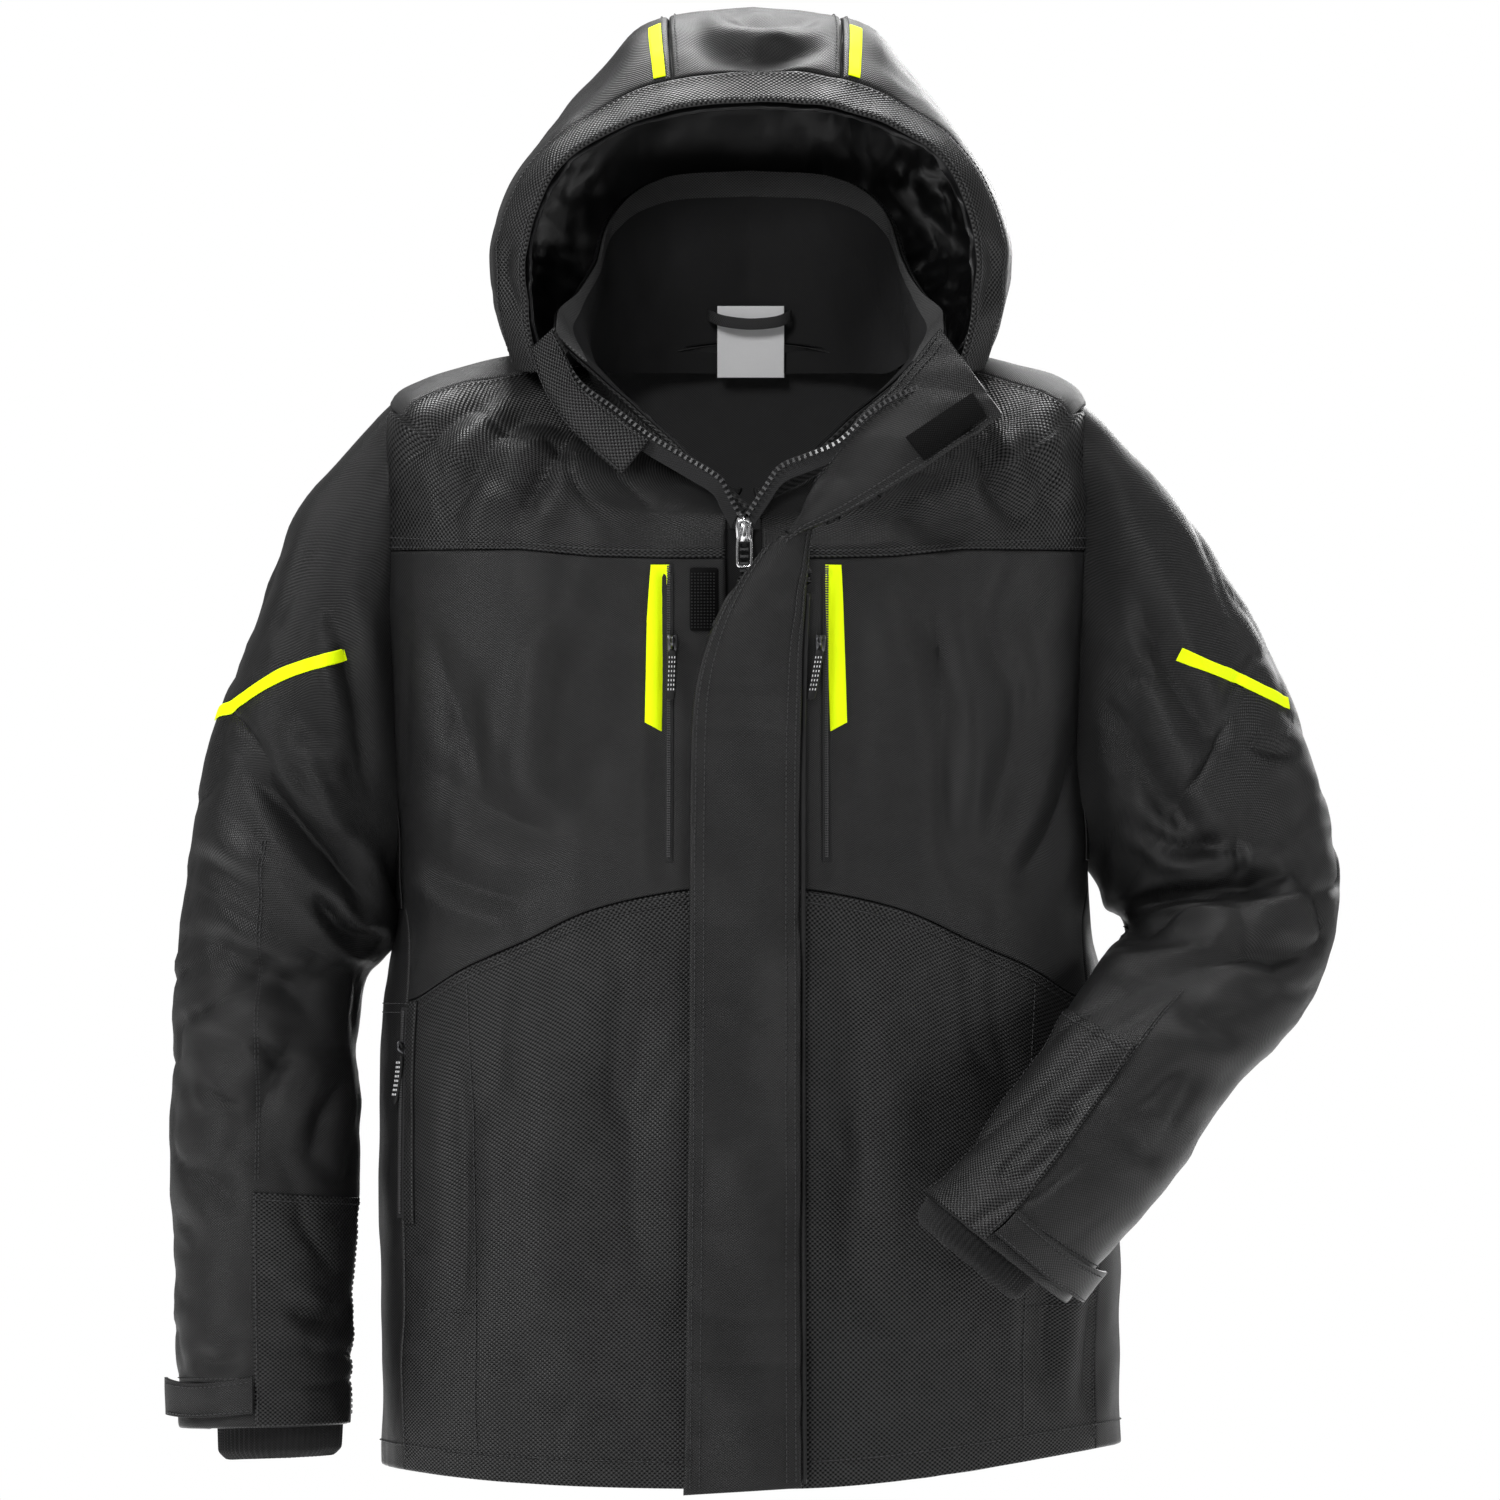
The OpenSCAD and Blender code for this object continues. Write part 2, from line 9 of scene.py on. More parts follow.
import bpy
import numpy as np
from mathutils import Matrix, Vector


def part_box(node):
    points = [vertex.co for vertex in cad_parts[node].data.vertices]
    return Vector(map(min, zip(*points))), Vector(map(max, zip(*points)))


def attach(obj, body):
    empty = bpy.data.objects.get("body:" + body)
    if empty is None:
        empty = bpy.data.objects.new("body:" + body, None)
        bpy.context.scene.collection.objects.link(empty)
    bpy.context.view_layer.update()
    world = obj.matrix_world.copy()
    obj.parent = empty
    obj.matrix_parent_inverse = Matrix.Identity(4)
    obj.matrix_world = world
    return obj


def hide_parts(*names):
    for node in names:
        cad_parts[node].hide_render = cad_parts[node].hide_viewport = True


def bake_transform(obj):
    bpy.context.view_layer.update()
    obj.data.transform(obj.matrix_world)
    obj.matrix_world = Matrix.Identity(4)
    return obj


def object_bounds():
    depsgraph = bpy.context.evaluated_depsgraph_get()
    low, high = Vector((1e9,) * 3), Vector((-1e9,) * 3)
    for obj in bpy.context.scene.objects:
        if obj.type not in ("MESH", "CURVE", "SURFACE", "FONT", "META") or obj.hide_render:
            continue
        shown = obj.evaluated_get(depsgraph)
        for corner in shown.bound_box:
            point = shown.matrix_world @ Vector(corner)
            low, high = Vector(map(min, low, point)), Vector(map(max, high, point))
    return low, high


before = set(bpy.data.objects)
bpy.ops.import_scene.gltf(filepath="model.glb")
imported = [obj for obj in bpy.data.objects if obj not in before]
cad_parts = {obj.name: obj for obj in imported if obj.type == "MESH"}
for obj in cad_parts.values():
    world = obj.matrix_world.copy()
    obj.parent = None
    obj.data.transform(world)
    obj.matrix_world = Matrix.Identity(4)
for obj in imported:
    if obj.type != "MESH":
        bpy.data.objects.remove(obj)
cad_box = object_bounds()

RIGHT, LEFT = -1, 1
SIDES = {"right": RIGHT, "left": LEFT}
FLAP_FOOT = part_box("storm_flap")[0]
LOOP_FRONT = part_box("hang_loop")[0].y
ORIGIN = np.array([0.0, 50.0 - LOOP_FRONT * 1000, -FLAP_FOOT.z * 1000])


def placed(points):
    """Design millimetres to row-frame metres."""
    return (np.asarray(points, float) - ORIGIN) / 1000


# ---------------------------------------------------------------- small maths


def smooth(t):
    t = np.clip(t, 0.0, 1.0)
    return t * t * (3 - 2 * t)


def ramp(x, start, end):
    """0 at start, 1 at end, smooth between."""
    return smooth((x - start) / (end - start))


def lookup(table, column, t):
    """A smooth curve through one column of a table, with no overshoot."""
    xs = np.array([row[0] for row in table], float)
    ys = np.array([row[column] for row in table], float)
    t = np.clip(np.asarray(t, float), xs[0], xs[-1])
    h = np.diff(xs)
    d = np.diff(ys) / h
    m = np.concatenate([[d[0]], np.where(d[:-1] * d[1:] > 0, (d[:-1] + d[1:]) / 2, 0), [d[-1]]])
    for k in range(len(d)):
        limit = 3 * abs(d[k])
        m[k] = np.clip(m[k], -limit, limit)
        m[k + 1] = np.clip(m[k + 1], -limit, limit)
    k = np.clip(np.searchsorted(xs, t, side="right") - 1, 0, len(h) - 1)
    s = (t - xs[k]) / h[k]
    a = (1 + 2 * s) * (1 - s) ** 2 * ys[k] + s * (1 - s) ** 2 * h[k] * m[k]
    return a + s * s * (3 - 2 * s) * ys[k + 1] + s * s * (s - 1) * h[k] * m[k + 1]


def spline(points, count=40):
    """Points spread evenly along a smooth line through the given ones."""
    p = np.asarray(points, float)
    if len(p) == 2:
        dense = p[0] + (p[1] - p[0]) * np.linspace(0, 1, 60)[:, None]
    else:
        padded = np.vstack([2 * p[0] - p[1], p, 2 * p[-1] - p[-2]])
        parts = []
        for i in range(1, len(padded) - 2):
            a, b, c, d = padded[i - 1 : i + 3]
            t = np.linspace(0, 1, 24, endpoint=False)[:, None]
            parts.append(0.5 * (2 * b + (c - a) * t + (2 * a - 5 * b + 4 * c - d) * t**2
                                + (3 * b - a - 3 * c + d) * t**3))
        dense = np.vstack(parts + [p[-1:]])
    return resample(dense, count)


def resample(dense, count):
    steps = np.linalg.norm(np.diff(dense, axis=0), axis=1)
    along = np.concatenate([[0], np.cumsum(steps)])
    at = np.linspace(0, along[-1], count)
    return np.column_stack([np.interp(at, along, dense[:, k]) for k in range(dense.shape[1])])


def lumps(points, size, seed):
    """Smooth seeded noise from -1 to 1 with bumps about size millimetres across."""
    lattice = np.random.RandomState(seed).uniform(-1, 1, (17, 17, 17))
    q = np.asarray(points, float) / size + 50
    cell = np.floor(q).astype(int)
    f = q - cell
    f = f * f * (3 - 2 * f)
    total = 0
    for dx in (0, 1):
        for dy in (0, 1):
            for dz in (0, 1):
                w = ((f[..., 0] if dx else 1 - f[..., 0]) * (f[..., 1] if dy else 1 - f[..., 1])
                     * (f[..., 2] if dz else 1 - f[..., 2]))
                total = total + w * lattice[(cell[..., 0] + dx) % 17, (cell[..., 1] + dy) % 17,
                                            (cell[..., 2] + dz) % 17]
    return total


# ---------------------------------------------------------------- folds and seams


def near_line(points, line):
    """Distance from each point to a line seen from the front, and how far along it is."""
    p = points[..., [0, 2]]
    best = np.full(p.shape[:-1], 1e9)
    along = np.zeros_like(best)
    n = len(line) - 1
    for k in range(n):
        a, b = line[k], line[k + 1]
        d = b - a
        t = np.clip(((p - a) @ d) / max(d @ d, 1e-9), 0, 1)
        gap = p - (a + t[..., None] * d)
        dist = np.hypot(gap[..., 0], gap[..., 1])
        near = dist < best
        best = np.where(near, dist, best)
        along = np.where(near, (k + t) / n, along)
    return best, along


class Fold:
    """A crease or ridge that runs along a line seen from the front (or from behind)."""

    def __init__(self, line, height, width, kind="valley", front=True, fade=0.3):
        self.line = spline(line, 14)
        height = height * (1.7 if kind != "seam" else 1)
        self.height, self.width, self.kind, self.front, self.fade = height, width, kind, front, fade

    def __call__(self, points, normals):
        lo, hi = self.line.min(0) - 5 * self.width, self.line.max(0) + 5 * self.width
        out = np.zeros(points.shape[:-1])
        facing = -normals[..., 1] if self.front else normals[..., 1]
        near = ((points[..., 0] > lo[0]) & (points[..., 0] < hi[0]) & (points[..., 2] > lo[1])
                & (points[..., 2] < hi[1]) & (facing > 0.02))
        if not near.any():
            return out
        dist, along = near_line(points[near], self.line)
        w = self.width
        ends = smooth(along / self.fade) * smooth((1 - along) / self.fade) if self.fade else 1
        ends = ends * np.exp(-(np.maximum(0, dist - 3.5 * w) / w) ** 2)
        if self.kind == "valley":
            value = -np.exp(-dist / (0.6 * w)) + 0.5 * np.exp(-(((dist - 1.5 * w) / (0.8 * w)) ** 2))
        elif self.kind == "ridge":
            value = np.exp(-((dist / w) ** 2)) - 0.4 * np.exp(-(((dist - 1.8 * w) / (0.7 * w)) ** 2))
        else:  # a seam: a narrow groove between two soft rolls
            value = -np.exp(-((dist / w) ** 2)) + 0.25 * np.exp(-(((dist - 2.4 * w) / (1.3 * w)) ** 2))
        out[near] = self.height * value * ends * np.sqrt(facing[near])
        return out


class Creases:
    """A web of small creases running at an angle, strongest near one place seen from the front."""

    def __init__(self, turn, length, space, height, middle, reach, seed, front=None):
        a = math.radians(turn)
        self.d, self.e = np.array([math.cos(a), 0, math.sin(a)]), np.array([-math.sin(a), 0, math.cos(a)])
        self.length, self.space, self.height, self.seed = length, space, height, seed
        self.middle, self.reach, self.front = np.array(middle, float), np.array(reach, float), front

    def __call__(self, p, n):
        away = (p[..., [0, 2]] - self.middle) / self.reach
        mask = np.exp(-np.sum(away**2, -1) ** 1.5)
        if self.front is not None:
            mask = mask * smooth((-n[..., 1] if self.front else n[..., 1]) * 2)
        out = np.zeros(mask.shape)
        near = mask > 0.02
        if not near.any():
            return out
        q = p[near]
        bend = 0.35 * lumps(q, 55, self.seed + 1)
        web = lumps(np.stack([q @ self.d / self.length, q[..., 1] / 45, q @ self.e / self.space + bend], -1),
                    1.0, self.seed)
        out[near] = 1.3 * self.height * mask[near] * (0.3 - (1 - np.abs(web)) ** 4)
        return out


# ---------------------------------------------------------------- surfaces


class Surface:
    """place(u, v) gives design points; centre(points) the inside they face away from."""

    def __init__(self, place, step, centre, reliefs=()):
        self.place, self.step, self.centre, self.reliefs = place, step, centre, list(reliefs)

    def frame(self, u, v):
        p = self.place(u, v)
        du = self.place(u + self.step[0], v) - self.place(u - self.step[0], v)
        dv = self.place(u, v + self.step[1]) - self.place(u, v - self.step[1])
        n = np.cross(du, dv)
        n /= np.maximum(np.linalg.norm(n, axis=-1, keepdims=True), 1e-9)
        away = np.sum(n * (p - self.centre(p, u, v)), axis=-1)
        return p, np.where((away < 0)[..., None], -n, n)

    def at(self, u, v, lift=0.0):
        u, v = np.broadcast_arrays(np.asarray(u, float), np.asarray(v, float))
        p, n = self.frame(u, v)
        height = np.zeros(u.shape) + lift
        for r in self.reliefs:
            height = height + r(p, n)
        return p + n * height[..., None], n


def spread(start, end, size, near):
    """Parameters from start to end, near millimetres apart over size, closer together at each edge."""
    count = max(2, int(round(size / near)))
    t = list(np.linspace(0, 1, count + 1))
    close = [d / size for d in (0.35, 1.0, 2.0, 3.4) if d < size / 3]
    margin = (close[-1] if close else 0) + 0.4 / count
    t = [0.0] + close + [x for x in t if margin < x < 1 - margin] + [1 - x for x in reversed(close)] + [1.0]
    return start + (end - start) * np.array(t)


def chord(points, axis):
    d = np.linalg.norm(np.diff(points, axis=axis), axis=-1)
    pad = [(0, 0), (0, 0)]
    pad[axis] = (1, 0)
    return np.pad(np.cumsum(d, axis=axis), pad)


def grid_normals(p, wrap):
    if wrap:
        du = np.roll(p, -1, 0) - np.roll(p, 1, 0)
    else:
        du = np.gradient(p, axis=0)
    n = np.cross(du, np.gradient(p, axis=1))
    return n / np.maximum(np.linalg.norm(n, axis=-1, keepdims=True), 1e-9)


def mesh_object(name, vertices, faces, material, uv=None, flat=False):
    mesh = bpy.data.meshes.new(name)
    mesh.from_pydata([tuple(v) for v in vertices], [], [tuple(int(i) for i in f) for f in faces])
    if uv is not None:
        layer = mesh.uv_layers.new(name="weave")
        index = np.zeros(len(mesh.loops), int)
        mesh.loops.foreach_get("vertex_index", index)
        layer.data.foreach_set("uv", np.asarray(uv, float)[index].ravel())
    if not flat:
        mesh.shade_smooth()
    mesh.update()
    thing = bpy.data.objects.new(name, mesh)
    bpy.context.scene.collection.objects.link(thing)
    mesh.materials.append(material)
    return thing


def on_torso(piece, node=None):
    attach(piece, "torso")
    if node:
        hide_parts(node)


def cloth(name, surface, us, vs, material, thick=3.0, wrap=False, lift=0.0, roll=2.2,
          rolled=(True, True, True, True), shape=None, inner_lift=None):
    """A closed piece of fabric over a grid of the surface, its rolled edges turned down and in."""
    us, vs = np.asarray(us, float), np.asarray(vs, float)
    u, v = np.meshgrid(us, vs, indexing="ij")
    if shape is not None:
        u, v = shape(u, v)
    p, n = surface.at(u, v, lift)
    cu, cv = chord(p, 0), chord(p, 1)
    reach = np.full(u.shape, 1e9)
    for on, gap in zip(rolled, (cu, cu[-1:] - cu, cv, cv[:, -1:] - cv)):
        if on and not (wrap and gap.shape == cu.shape and (gap is cu)):
            reach = np.minimum(reach, np.broadcast_to(gap, u.shape))
    if wrap:
        reach = np.full(u.shape, 1e9)
        for on, gap in zip(rolled[2:], (cv, cv[:, -1:] - cv)):
            if on:
                reach = np.minimum(reach, gap)
    s = np.clip(reach / (1.6 * roll), 0, 1)
    down = roll * (1 - np.sqrt(np.maximum(0, 1 - (1 - s) ** 2)))
    outer = p - n * down[..., None]
    gn = grid_normals(p, wrap)
    gn = np.where((np.sum(gn * n, -1) < 0)[..., None], -gn, gn)
    inner = p - gn * thick if inner_lift is None else surface.at(u, v, inner_lift)[0]
    made = closed_sheet(name, outer, inner, material, wrap, (cu, cv))
    return made


def closed_sheet(name, outer, inner, material, wrap=False, lengths=None):
    rows = outer.shape[1]
    count = outer.shape[0] * rows
    last = outer.shape[0] if wrap else outer.shape[0] - 1
    i, j = np.meshgrid(np.arange(last), np.arange(rows - 1), indexing="ij")
    a = (i * rows + j).ravel()
    b = (((i + 1) % outer.shape[0]) * rows + j).ravel()
    front = np.stack([a, b, b + 1, a + 1], 1)
    back = front[:, ::-1] + count
    i = np.arange(last)
    a, b = i * rows, ((i + 1) % outer.shape[0]) * rows
    foot = np.stack([a, a + count, b + count, b], 1)
    a, b = a + rows - 1, b + rows - 1
    head = np.stack([b, b + count, a + count, a], 1)
    faces = [front, back, foot, head]
    if not wrap:
        j = np.arange(rows - 1)
        faces.append(np.stack([j + 1, j + 1 + count, j + count, j], 1))
        k = j + (outer.shape[0] - 1) * rows
        faces.append(np.stack([k, k + count, k + 1 + count, k + 1], 1))
    faces = np.vstack(faces)
    vertices = np.vstack([outer.reshape(-1, 3), inner.reshape(-1, 3)])
    q = vertices[faces[: len(front)]]
    middle = np.sum((q[:, 0] - inner.reshape(-1, 3)[faces[: len(front), 0]])
                    * np.cross(q[:, 1] - q[:, 0], q[:, 2] - q[:, 0]))
    if middle < 0:
        faces = faces[:, ::-1]
    if lengths is None:
        lengths = (chord(outer, 0), chord(outer, 1))
    uv = np.stack([np.median(lengths[0], 1)[:, None] + 0 * lengths[0],
                   np.median(lengths[1], 0)[None] + 0 * lengths[1]], -1).reshape(-1, 2)
    return mesh_object(name, placed(vertices), faces, material, np.vstack([uv, uv]) / 1000)


def ribbon(name, centre, side, normal, width, thick, material):
    """A flat band along a line of points, with rounded edges."""
    half = np.array([-1, -0.93, -0.75, 0.75, 0.93, 1.0]) * 0.5
    bulge = np.array([0.0, 0.7, 1, 1, 0.7, 0]) * thick / 2
    w = np.asarray(width, float) if np.ndim(width) else np.full(len(centre), float(width))
    base = centre[None] + half[:, None, None] * w[None, :, None] * side[None]
    outer = base + bulge[:, None, None] * normal[None]
    inner = base - bulge[:, None, None] * normal[None] - 0.02 * normal[None]
    return closed_sheet(name, outer, inner, material)


def tube(points, radius, sides=8, closed=False):
    """Vertices and faces of a round tube along points; radius may be one per point."""
    p = np.asarray(points, float)
    r = np.broadcast_to(np.asarray(radius, float), (len(p),))
    d = np.gradient(p, axis=0)
    if closed:
        d = np.roll(p, -1, 0) - np.roll(p, 1, 0)
    d /= np.maximum(np.linalg.norm(d, axis=1, keepdims=True), 1e-9)
    ref = np.array([0.0, 0.0, 1.0]) if abs(d[0][2]) < 0.9 else np.array([1.0, 0, 0])
    across = np.zeros_like(p)
    a = np.cross(d[0], ref)
    for k in range(len(p)):
        a = a - d[k] * (a @ d[k])
        a /= max(np.linalg.norm(a), 1e-9)
        across[k] = a
    other = np.cross(d, across)
    t = np.linspace(0, 2 * math.pi, sides, endpoint=False)
    ring = (across[:, None] * np.cos(t)[None, :, None] + other[:, None] * np.sin(t)[None, :, None])
    v = (p[:, None] + ring * r[:, None, None]).reshape(-1, 3)
    faces = []
    n = len(p)
    for i in range(n if closed else n - 1):
        for j in range(sides):
            k = (j + 1) % sides
            i2 = (i + 1) % n
            faces.append((i * sides + j, i * sides + k, i2 * sides + k, i2 * sides + j))
    if not closed:
        faces.append(tuple(range(sides))[::-1])
        faces.append(tuple((n - 1) * sides + j for j in range(sides)))
    return v, faces


def joined(parts):
    """Several (vertices, faces) pairs as one."""
    vertices, faces, base = [], [], 0
    for v, f in parts:
        vertices.append(np.asarray(v, float))
        faces += [tuple(i + base for i in face) for face in f]
        base += len(v)
    return np.vstack(vertices), faces


def stitches(name, lines, material, length=2.9, gap=1.1, radius=0.42):
    """Rows of thread: each line is (points, normals), each stitch a short spindle lying on the cloth."""
    vertices, faces = [], []
    count = 0
    for points, normals in lines:
        steps = np.linalg.norm(np.diff(points, axis=0), axis=1)
        along = np.concatenate([[0], np.cumsum(steps)])
        total = int(along[-1] // (length + gap))
        if total < 1:
            continue
        starts = np.arange(total) * (length + gap)
        shares = (0.0, 0.16, 0.84, 1.0)
        size = (0.25, 1.0, 1.0, 0.25)
        rise = (-0.25, 0.1, 0.1, -0.25)
        rings = []
        for share, s, h in zip(shares, size, rise):
            at = starts + share * length
            p = np.column_stack([np.interp(at, along, points[:, k]) for k in range(3)])
            n = np.column_stack([np.interp(at, along, normals[:, k]) for k in range(3)])
            n /= np.linalg.norm(n, axis=1, keepdims=True)
            q = np.column_stack([np.interp(at + 0.3, along, points[:, k]) for k in range(3)])
            d = q - p
            d /= np.maximum(np.linalg.norm(d, axis=1, keepdims=True), 1e-9)
            a = np.cross(d, n)
            t = np.linspace(0, 2 * math.pi, 6, endpoint=False)
            rings.append(p[:, None] + h * n[:, None] + radius * s
                         * (a[:, None] * np.cos(t)[None, :, None] + n[:, None] * np.sin(t)[None, :, None]))
        block = np.stack(rings, 1)  # stitch, ring, side
        base = count + np.arange(total)[:, None, None] * 24
        r, j = np.meshgrid(np.arange(3), np.arange(6), indexing="ij")
        quad = np.stack([r * 6 + j, r * 6 + (j + 1) % 6, (r + 1) * 6 + (j + 1) % 6, (r + 1) * 6 + j], -1)
        faces.append((quad.reshape(1, -1, 4) + base).reshape(-1, 4))
        vertices.append(block.reshape(-1, 3))
        count += total * 24
    return mesh_object(name, placed(np.vstack(vertices)), np.vstack(faces), material)


# ---------------------------------------------------------------- materials


def nodes_of(name):
    material = bpy.data.materials.new(name)
    material.use_nodes = True
    tree = material.node_tree
    return material, tree, tree.nodes["Principled BSDF"]


def math_node(tree, kind, a, b=None):
    node = tree.nodes.new("ShaderNodeMath")
    node.operation = kind
    for k, value in enumerate((a, b)):
        if value is None:
            continue
        if isinstance(value, (int, float)):
            node.inputs[k].default_value = value
        else:
            tree.links.new(value, node.inputs[k])
    return node.outputs[0]


def weave_height(tree, pitch, tall):
    """A woven height from the cloth's own flat coordinates, in metres."""
    uv = tree.nodes.new("ShaderNodeUVMap")
    uv.uv_map = "weave"
    split = tree.nodes.new("ShaderNodeSeparateXYZ")
    tree.links.new(uv.outputs[0], split.inputs[0])
    x = math_node(tree, "MULTIPLY", split.outputs[0], math.pi / pitch)
    y = math_node(tree, "MULTIPLY", split.outputs[1], math.pi / (pitch * tall))
    return math_node(tree, "MULTIPLY", math_node(tree, "SINE", x), math_node(tree, "SINE", y))


WEAVE_TALL = 0.8
CLOUD_SCALE, GRAIN_SCALE, SCUFF_SCALE = 60.0, 420, 900.0


def fabric(name, colour, pitch, bump, contrast=0.35, rough=0.78, sheen=0.0, mottle=0.12, coat=0.0,
           gloss=0.18):
    """Woven cloth: thread colour and height follow the weave, with soft uneven fading over it."""
    material, tree, shader = nodes_of(name)
    height = weave_height(tree, pitch, WEAVE_TALL)
    level = math_node(tree, "MULTIPLY_ADD", height, 0.5)
    level.node.inputs[2].default_value = 0.5
    place = tree.nodes.new("ShaderNodeTexCoord")
    cloudy = tree.nodes.new("ShaderNodeTexNoise")
    cloudy.inputs["Scale"].default_value = CLOUD_SCALE
    cloudy.inputs["Detail"].default_value = 6
    tree.links.new(place.outputs["Object"], cloudy.inputs["Vector"])
    fine = tree.nodes.new("ShaderNodeTexNoise")
    fine.inputs["Scale"].default_value = GRAIN_SCALE
    tree.links.new(place.outputs["Object"], fine.inputs["Vector"])
    grain = math_node(tree, "ADD", math_node(tree, "MULTIPLY", cloudy.outputs[0], 2 * mottle),
                      math_node(tree, "MULTIPLY", fine.outputs[0], mottle))
    bright = math_node(tree, "ADD", math_node(tree, "MULTIPLY", level, 2 * contrast),
                       math_node(tree, "ADD", grain, 1 - contrast - 1.5 * mottle))
    mix = tree.nodes.new("ShaderNodeMix")
    mix.data_type = "RGBA"
    mix.blend_type = "MULTIPLY"
    mix.inputs["Factor"].default_value = 1
    mix.inputs["A"].default_value = (*colour, 1)
    grey = tree.nodes.new("ShaderNodeCombineColor")
    for k in range(3):
        tree.links.new(bright, grey.inputs[k])
    tree.links.new(grey.outputs[0], mix.inputs["B"])
    tree.links.new(mix.outputs["Result"], shader.inputs["Base Color"])
    bumper = tree.nodes.new("ShaderNodeBump")
    bumper.inputs["Strength"].default_value = 1
    bumper.inputs["Distance"].default_value = bump / 1000
    tree.links.new(level, bumper.inputs["Height"])
    tree.links.new(bumper.outputs[0], shader.inputs["Normal"])
    roughness = math_node(tree, "MULTIPLY_ADD", cloudy.outputs[0], 0.16)
    roughness.node.inputs[2].default_value = rough - 0.08
    tree.links.new(roughness, shader.inputs["Roughness"])
    shader.inputs["Sheen Weight"].default_value = sheen
    shader.inputs["Sheen Roughness"].default_value = 0.45
    shader.inputs["Sheen Tint"].default_value = (0.7, 0.7, 0.72, 1)
    glint = 0.85 * contrast
    shine = math_node(tree, "MULTIPLY_ADD", level, 2 * glint * gloss)
    shine.node.inputs[2].default_value = (1 - glint) * gloss
    tree.links.new(shine, shader.inputs["Specular IOR Level"])
    shader.inputs["Coat Weight"].default_value = coat
    return material


def solid(name, colour, rough, metallic=0.0, bump=0.02, wear=0.15):
    """Plastic or metal with fine scuffs and uneven gloss."""
    material, tree, shader = nodes_of(name)
    place = tree.nodes.new("ShaderNodeTexCoord")
    noise = tree.nodes.new("ShaderNodeTexNoise")
    noise.inputs["Scale"].default_value = SCUFF_SCALE
    noise.inputs["Detail"].default_value = 5
    tree.links.new(place.outputs["Object"], noise.inputs["Vector"])
    ramp_node = tree.nodes.new("ShaderNodeValToRGB")
    ramp_node.color_ramp.elements[0].color = (*[c * (1 - wear) for c in colour], 1)
    ramp_node.color_ramp.elements[1].color = (*[min(1, c * (1 + wear)) for c in colour], 1)
    tree.links.new(noise.outputs[0], ramp_node.inputs[0])
    tree.links.new(ramp_node.outputs[0], shader.inputs["Base Color"])
    roughness = math_node(tree, "MULTIPLY_ADD", noise.outputs[0], 0.2)
    roughness.node.inputs[2].default_value = rough - 0.1
    tree.links.new(roughness, shader.inputs["Roughness"])
    bumper = tree.nodes.new("ShaderNodeBump")
    bumper.inputs["Distance"].default_value = bump / 1000
    tree.links.new(noise.outputs[0], bumper.inputs["Height"])
    tree.links.new(bumper.outputs[0], shader.inputs["Normal"])
    shader.inputs["Metallic"].default_value = metallic
    return material


SHELL = fabric("shell fabric", (0.009, 0.009, 0.0092), 0.0011, 0.3, contrast=0.6, rough=0.39, mottle=0.25,
               gloss=0.2)
# A lighter copy of the shell fabric, used on the back yoke, the shoulder strips and the loop pile: painted
# light, so the pieces on top of the shoulders read lighter as if lit from above.
PAINTED_LIGHTER_SHELL = fabric("shoulder fabric painted lighter", (0.015, 0.015, 0.0153), 0.0011, 0.3, contrast=0.6, rough=0.5,
                    gloss=0.2)
COARSE = fabric("coarse fabric", (0.0095, 0.0095, 0.0097), 0.0018, 0.55, contrast=1.0, rough=0.42,
                mottle=0.45, gloss=0.21)
LINING = fabric("lining taffeta", (0.007, 0.007, 0.0075), 0.0006, 0.04, contrast=0.1, rough=0.42)
FACING = fabric("facing fabric", (0.013, 0.013, 0.0135), 0.0007, 0.08, contrast=0.2, rough=0.7)
# The neck facing is painted much lighter than the other facings: painted light, standing in for light in the
# shade inside the neck.
NECK_FACING_PAINTED_LIGHTER = fabric("neck facing", (0.038, 0.038, 0.0387), 0.0009, 0.1, contrast=0.3, rough=0.7)
HOOD_LINING = fabric("hood lining", (0.008, 0.008, 0.0085), 0.0006, 0.03, contrast=0.1, rough=0.36,
                     coat=0.02, gloss=0.25)
BINDING = fabric("binding tape", (0.045, 0.045, 0.0455), 0.0011, 0.3, contrast=0.6, rough=0.6)
KNIT = fabric("ribbed knit", (0.010, 0.010, 0.0103), 0.0012, 0.35, contrast=0.5, rough=0.8, sheen=0.06)
YELLOW_TAPE_AND_GLOW = fabric("yellow tape", (0.66, 0.84, 0.002), 0.0007, 0.05, contrast=0.03, rough=0.6, sheen=0.0,
                mottle=0.015, gloss=0.1)
LABEL_SATIN_AND_GLOW = fabric("label satin", (0.86, 0.86, 0.87), 0.0006, 0.03, contrast=0.06, rough=0.4, mottle=0.03)
HOOKS = fabric("hook and loop", (0.004, 0.004, 0.0041), 0.0012, 0.5, contrast=0.5, rough=0.85, gloss=0.05)
CORD = fabric("cord sleeve", (0.008, 0.008, 0.0082), 0.0010, 0.3, contrast=0.4, rough=0.5)
THREAD = solid("thread", (0.012, 0.012, 0.013), 0.55, bump=0.05)
PALE_THREAD = solid("reflective thread", (0.55, 0.55, 0.56), 0.4, bump=0.05)
TEETH = solid("zip teeth", (0.05, 0.05, 0.051), 0.22, bump=0.02)
TAPE = fabric("zip tape", (0.014, 0.014, 0.0145), 0.0009, 0.2, contrast=0.4, rough=0.8)
DARK_METAL = solid("dark slider metal", (0.10, 0.10, 0.105), 0.3, metallic=1.0, bump=0.02, wear=0.1)
METAL = solid("slider metal", (0.66, 0.66, 0.67), 0.2, metallic=1.0, bump=0.02, wear=0.08)

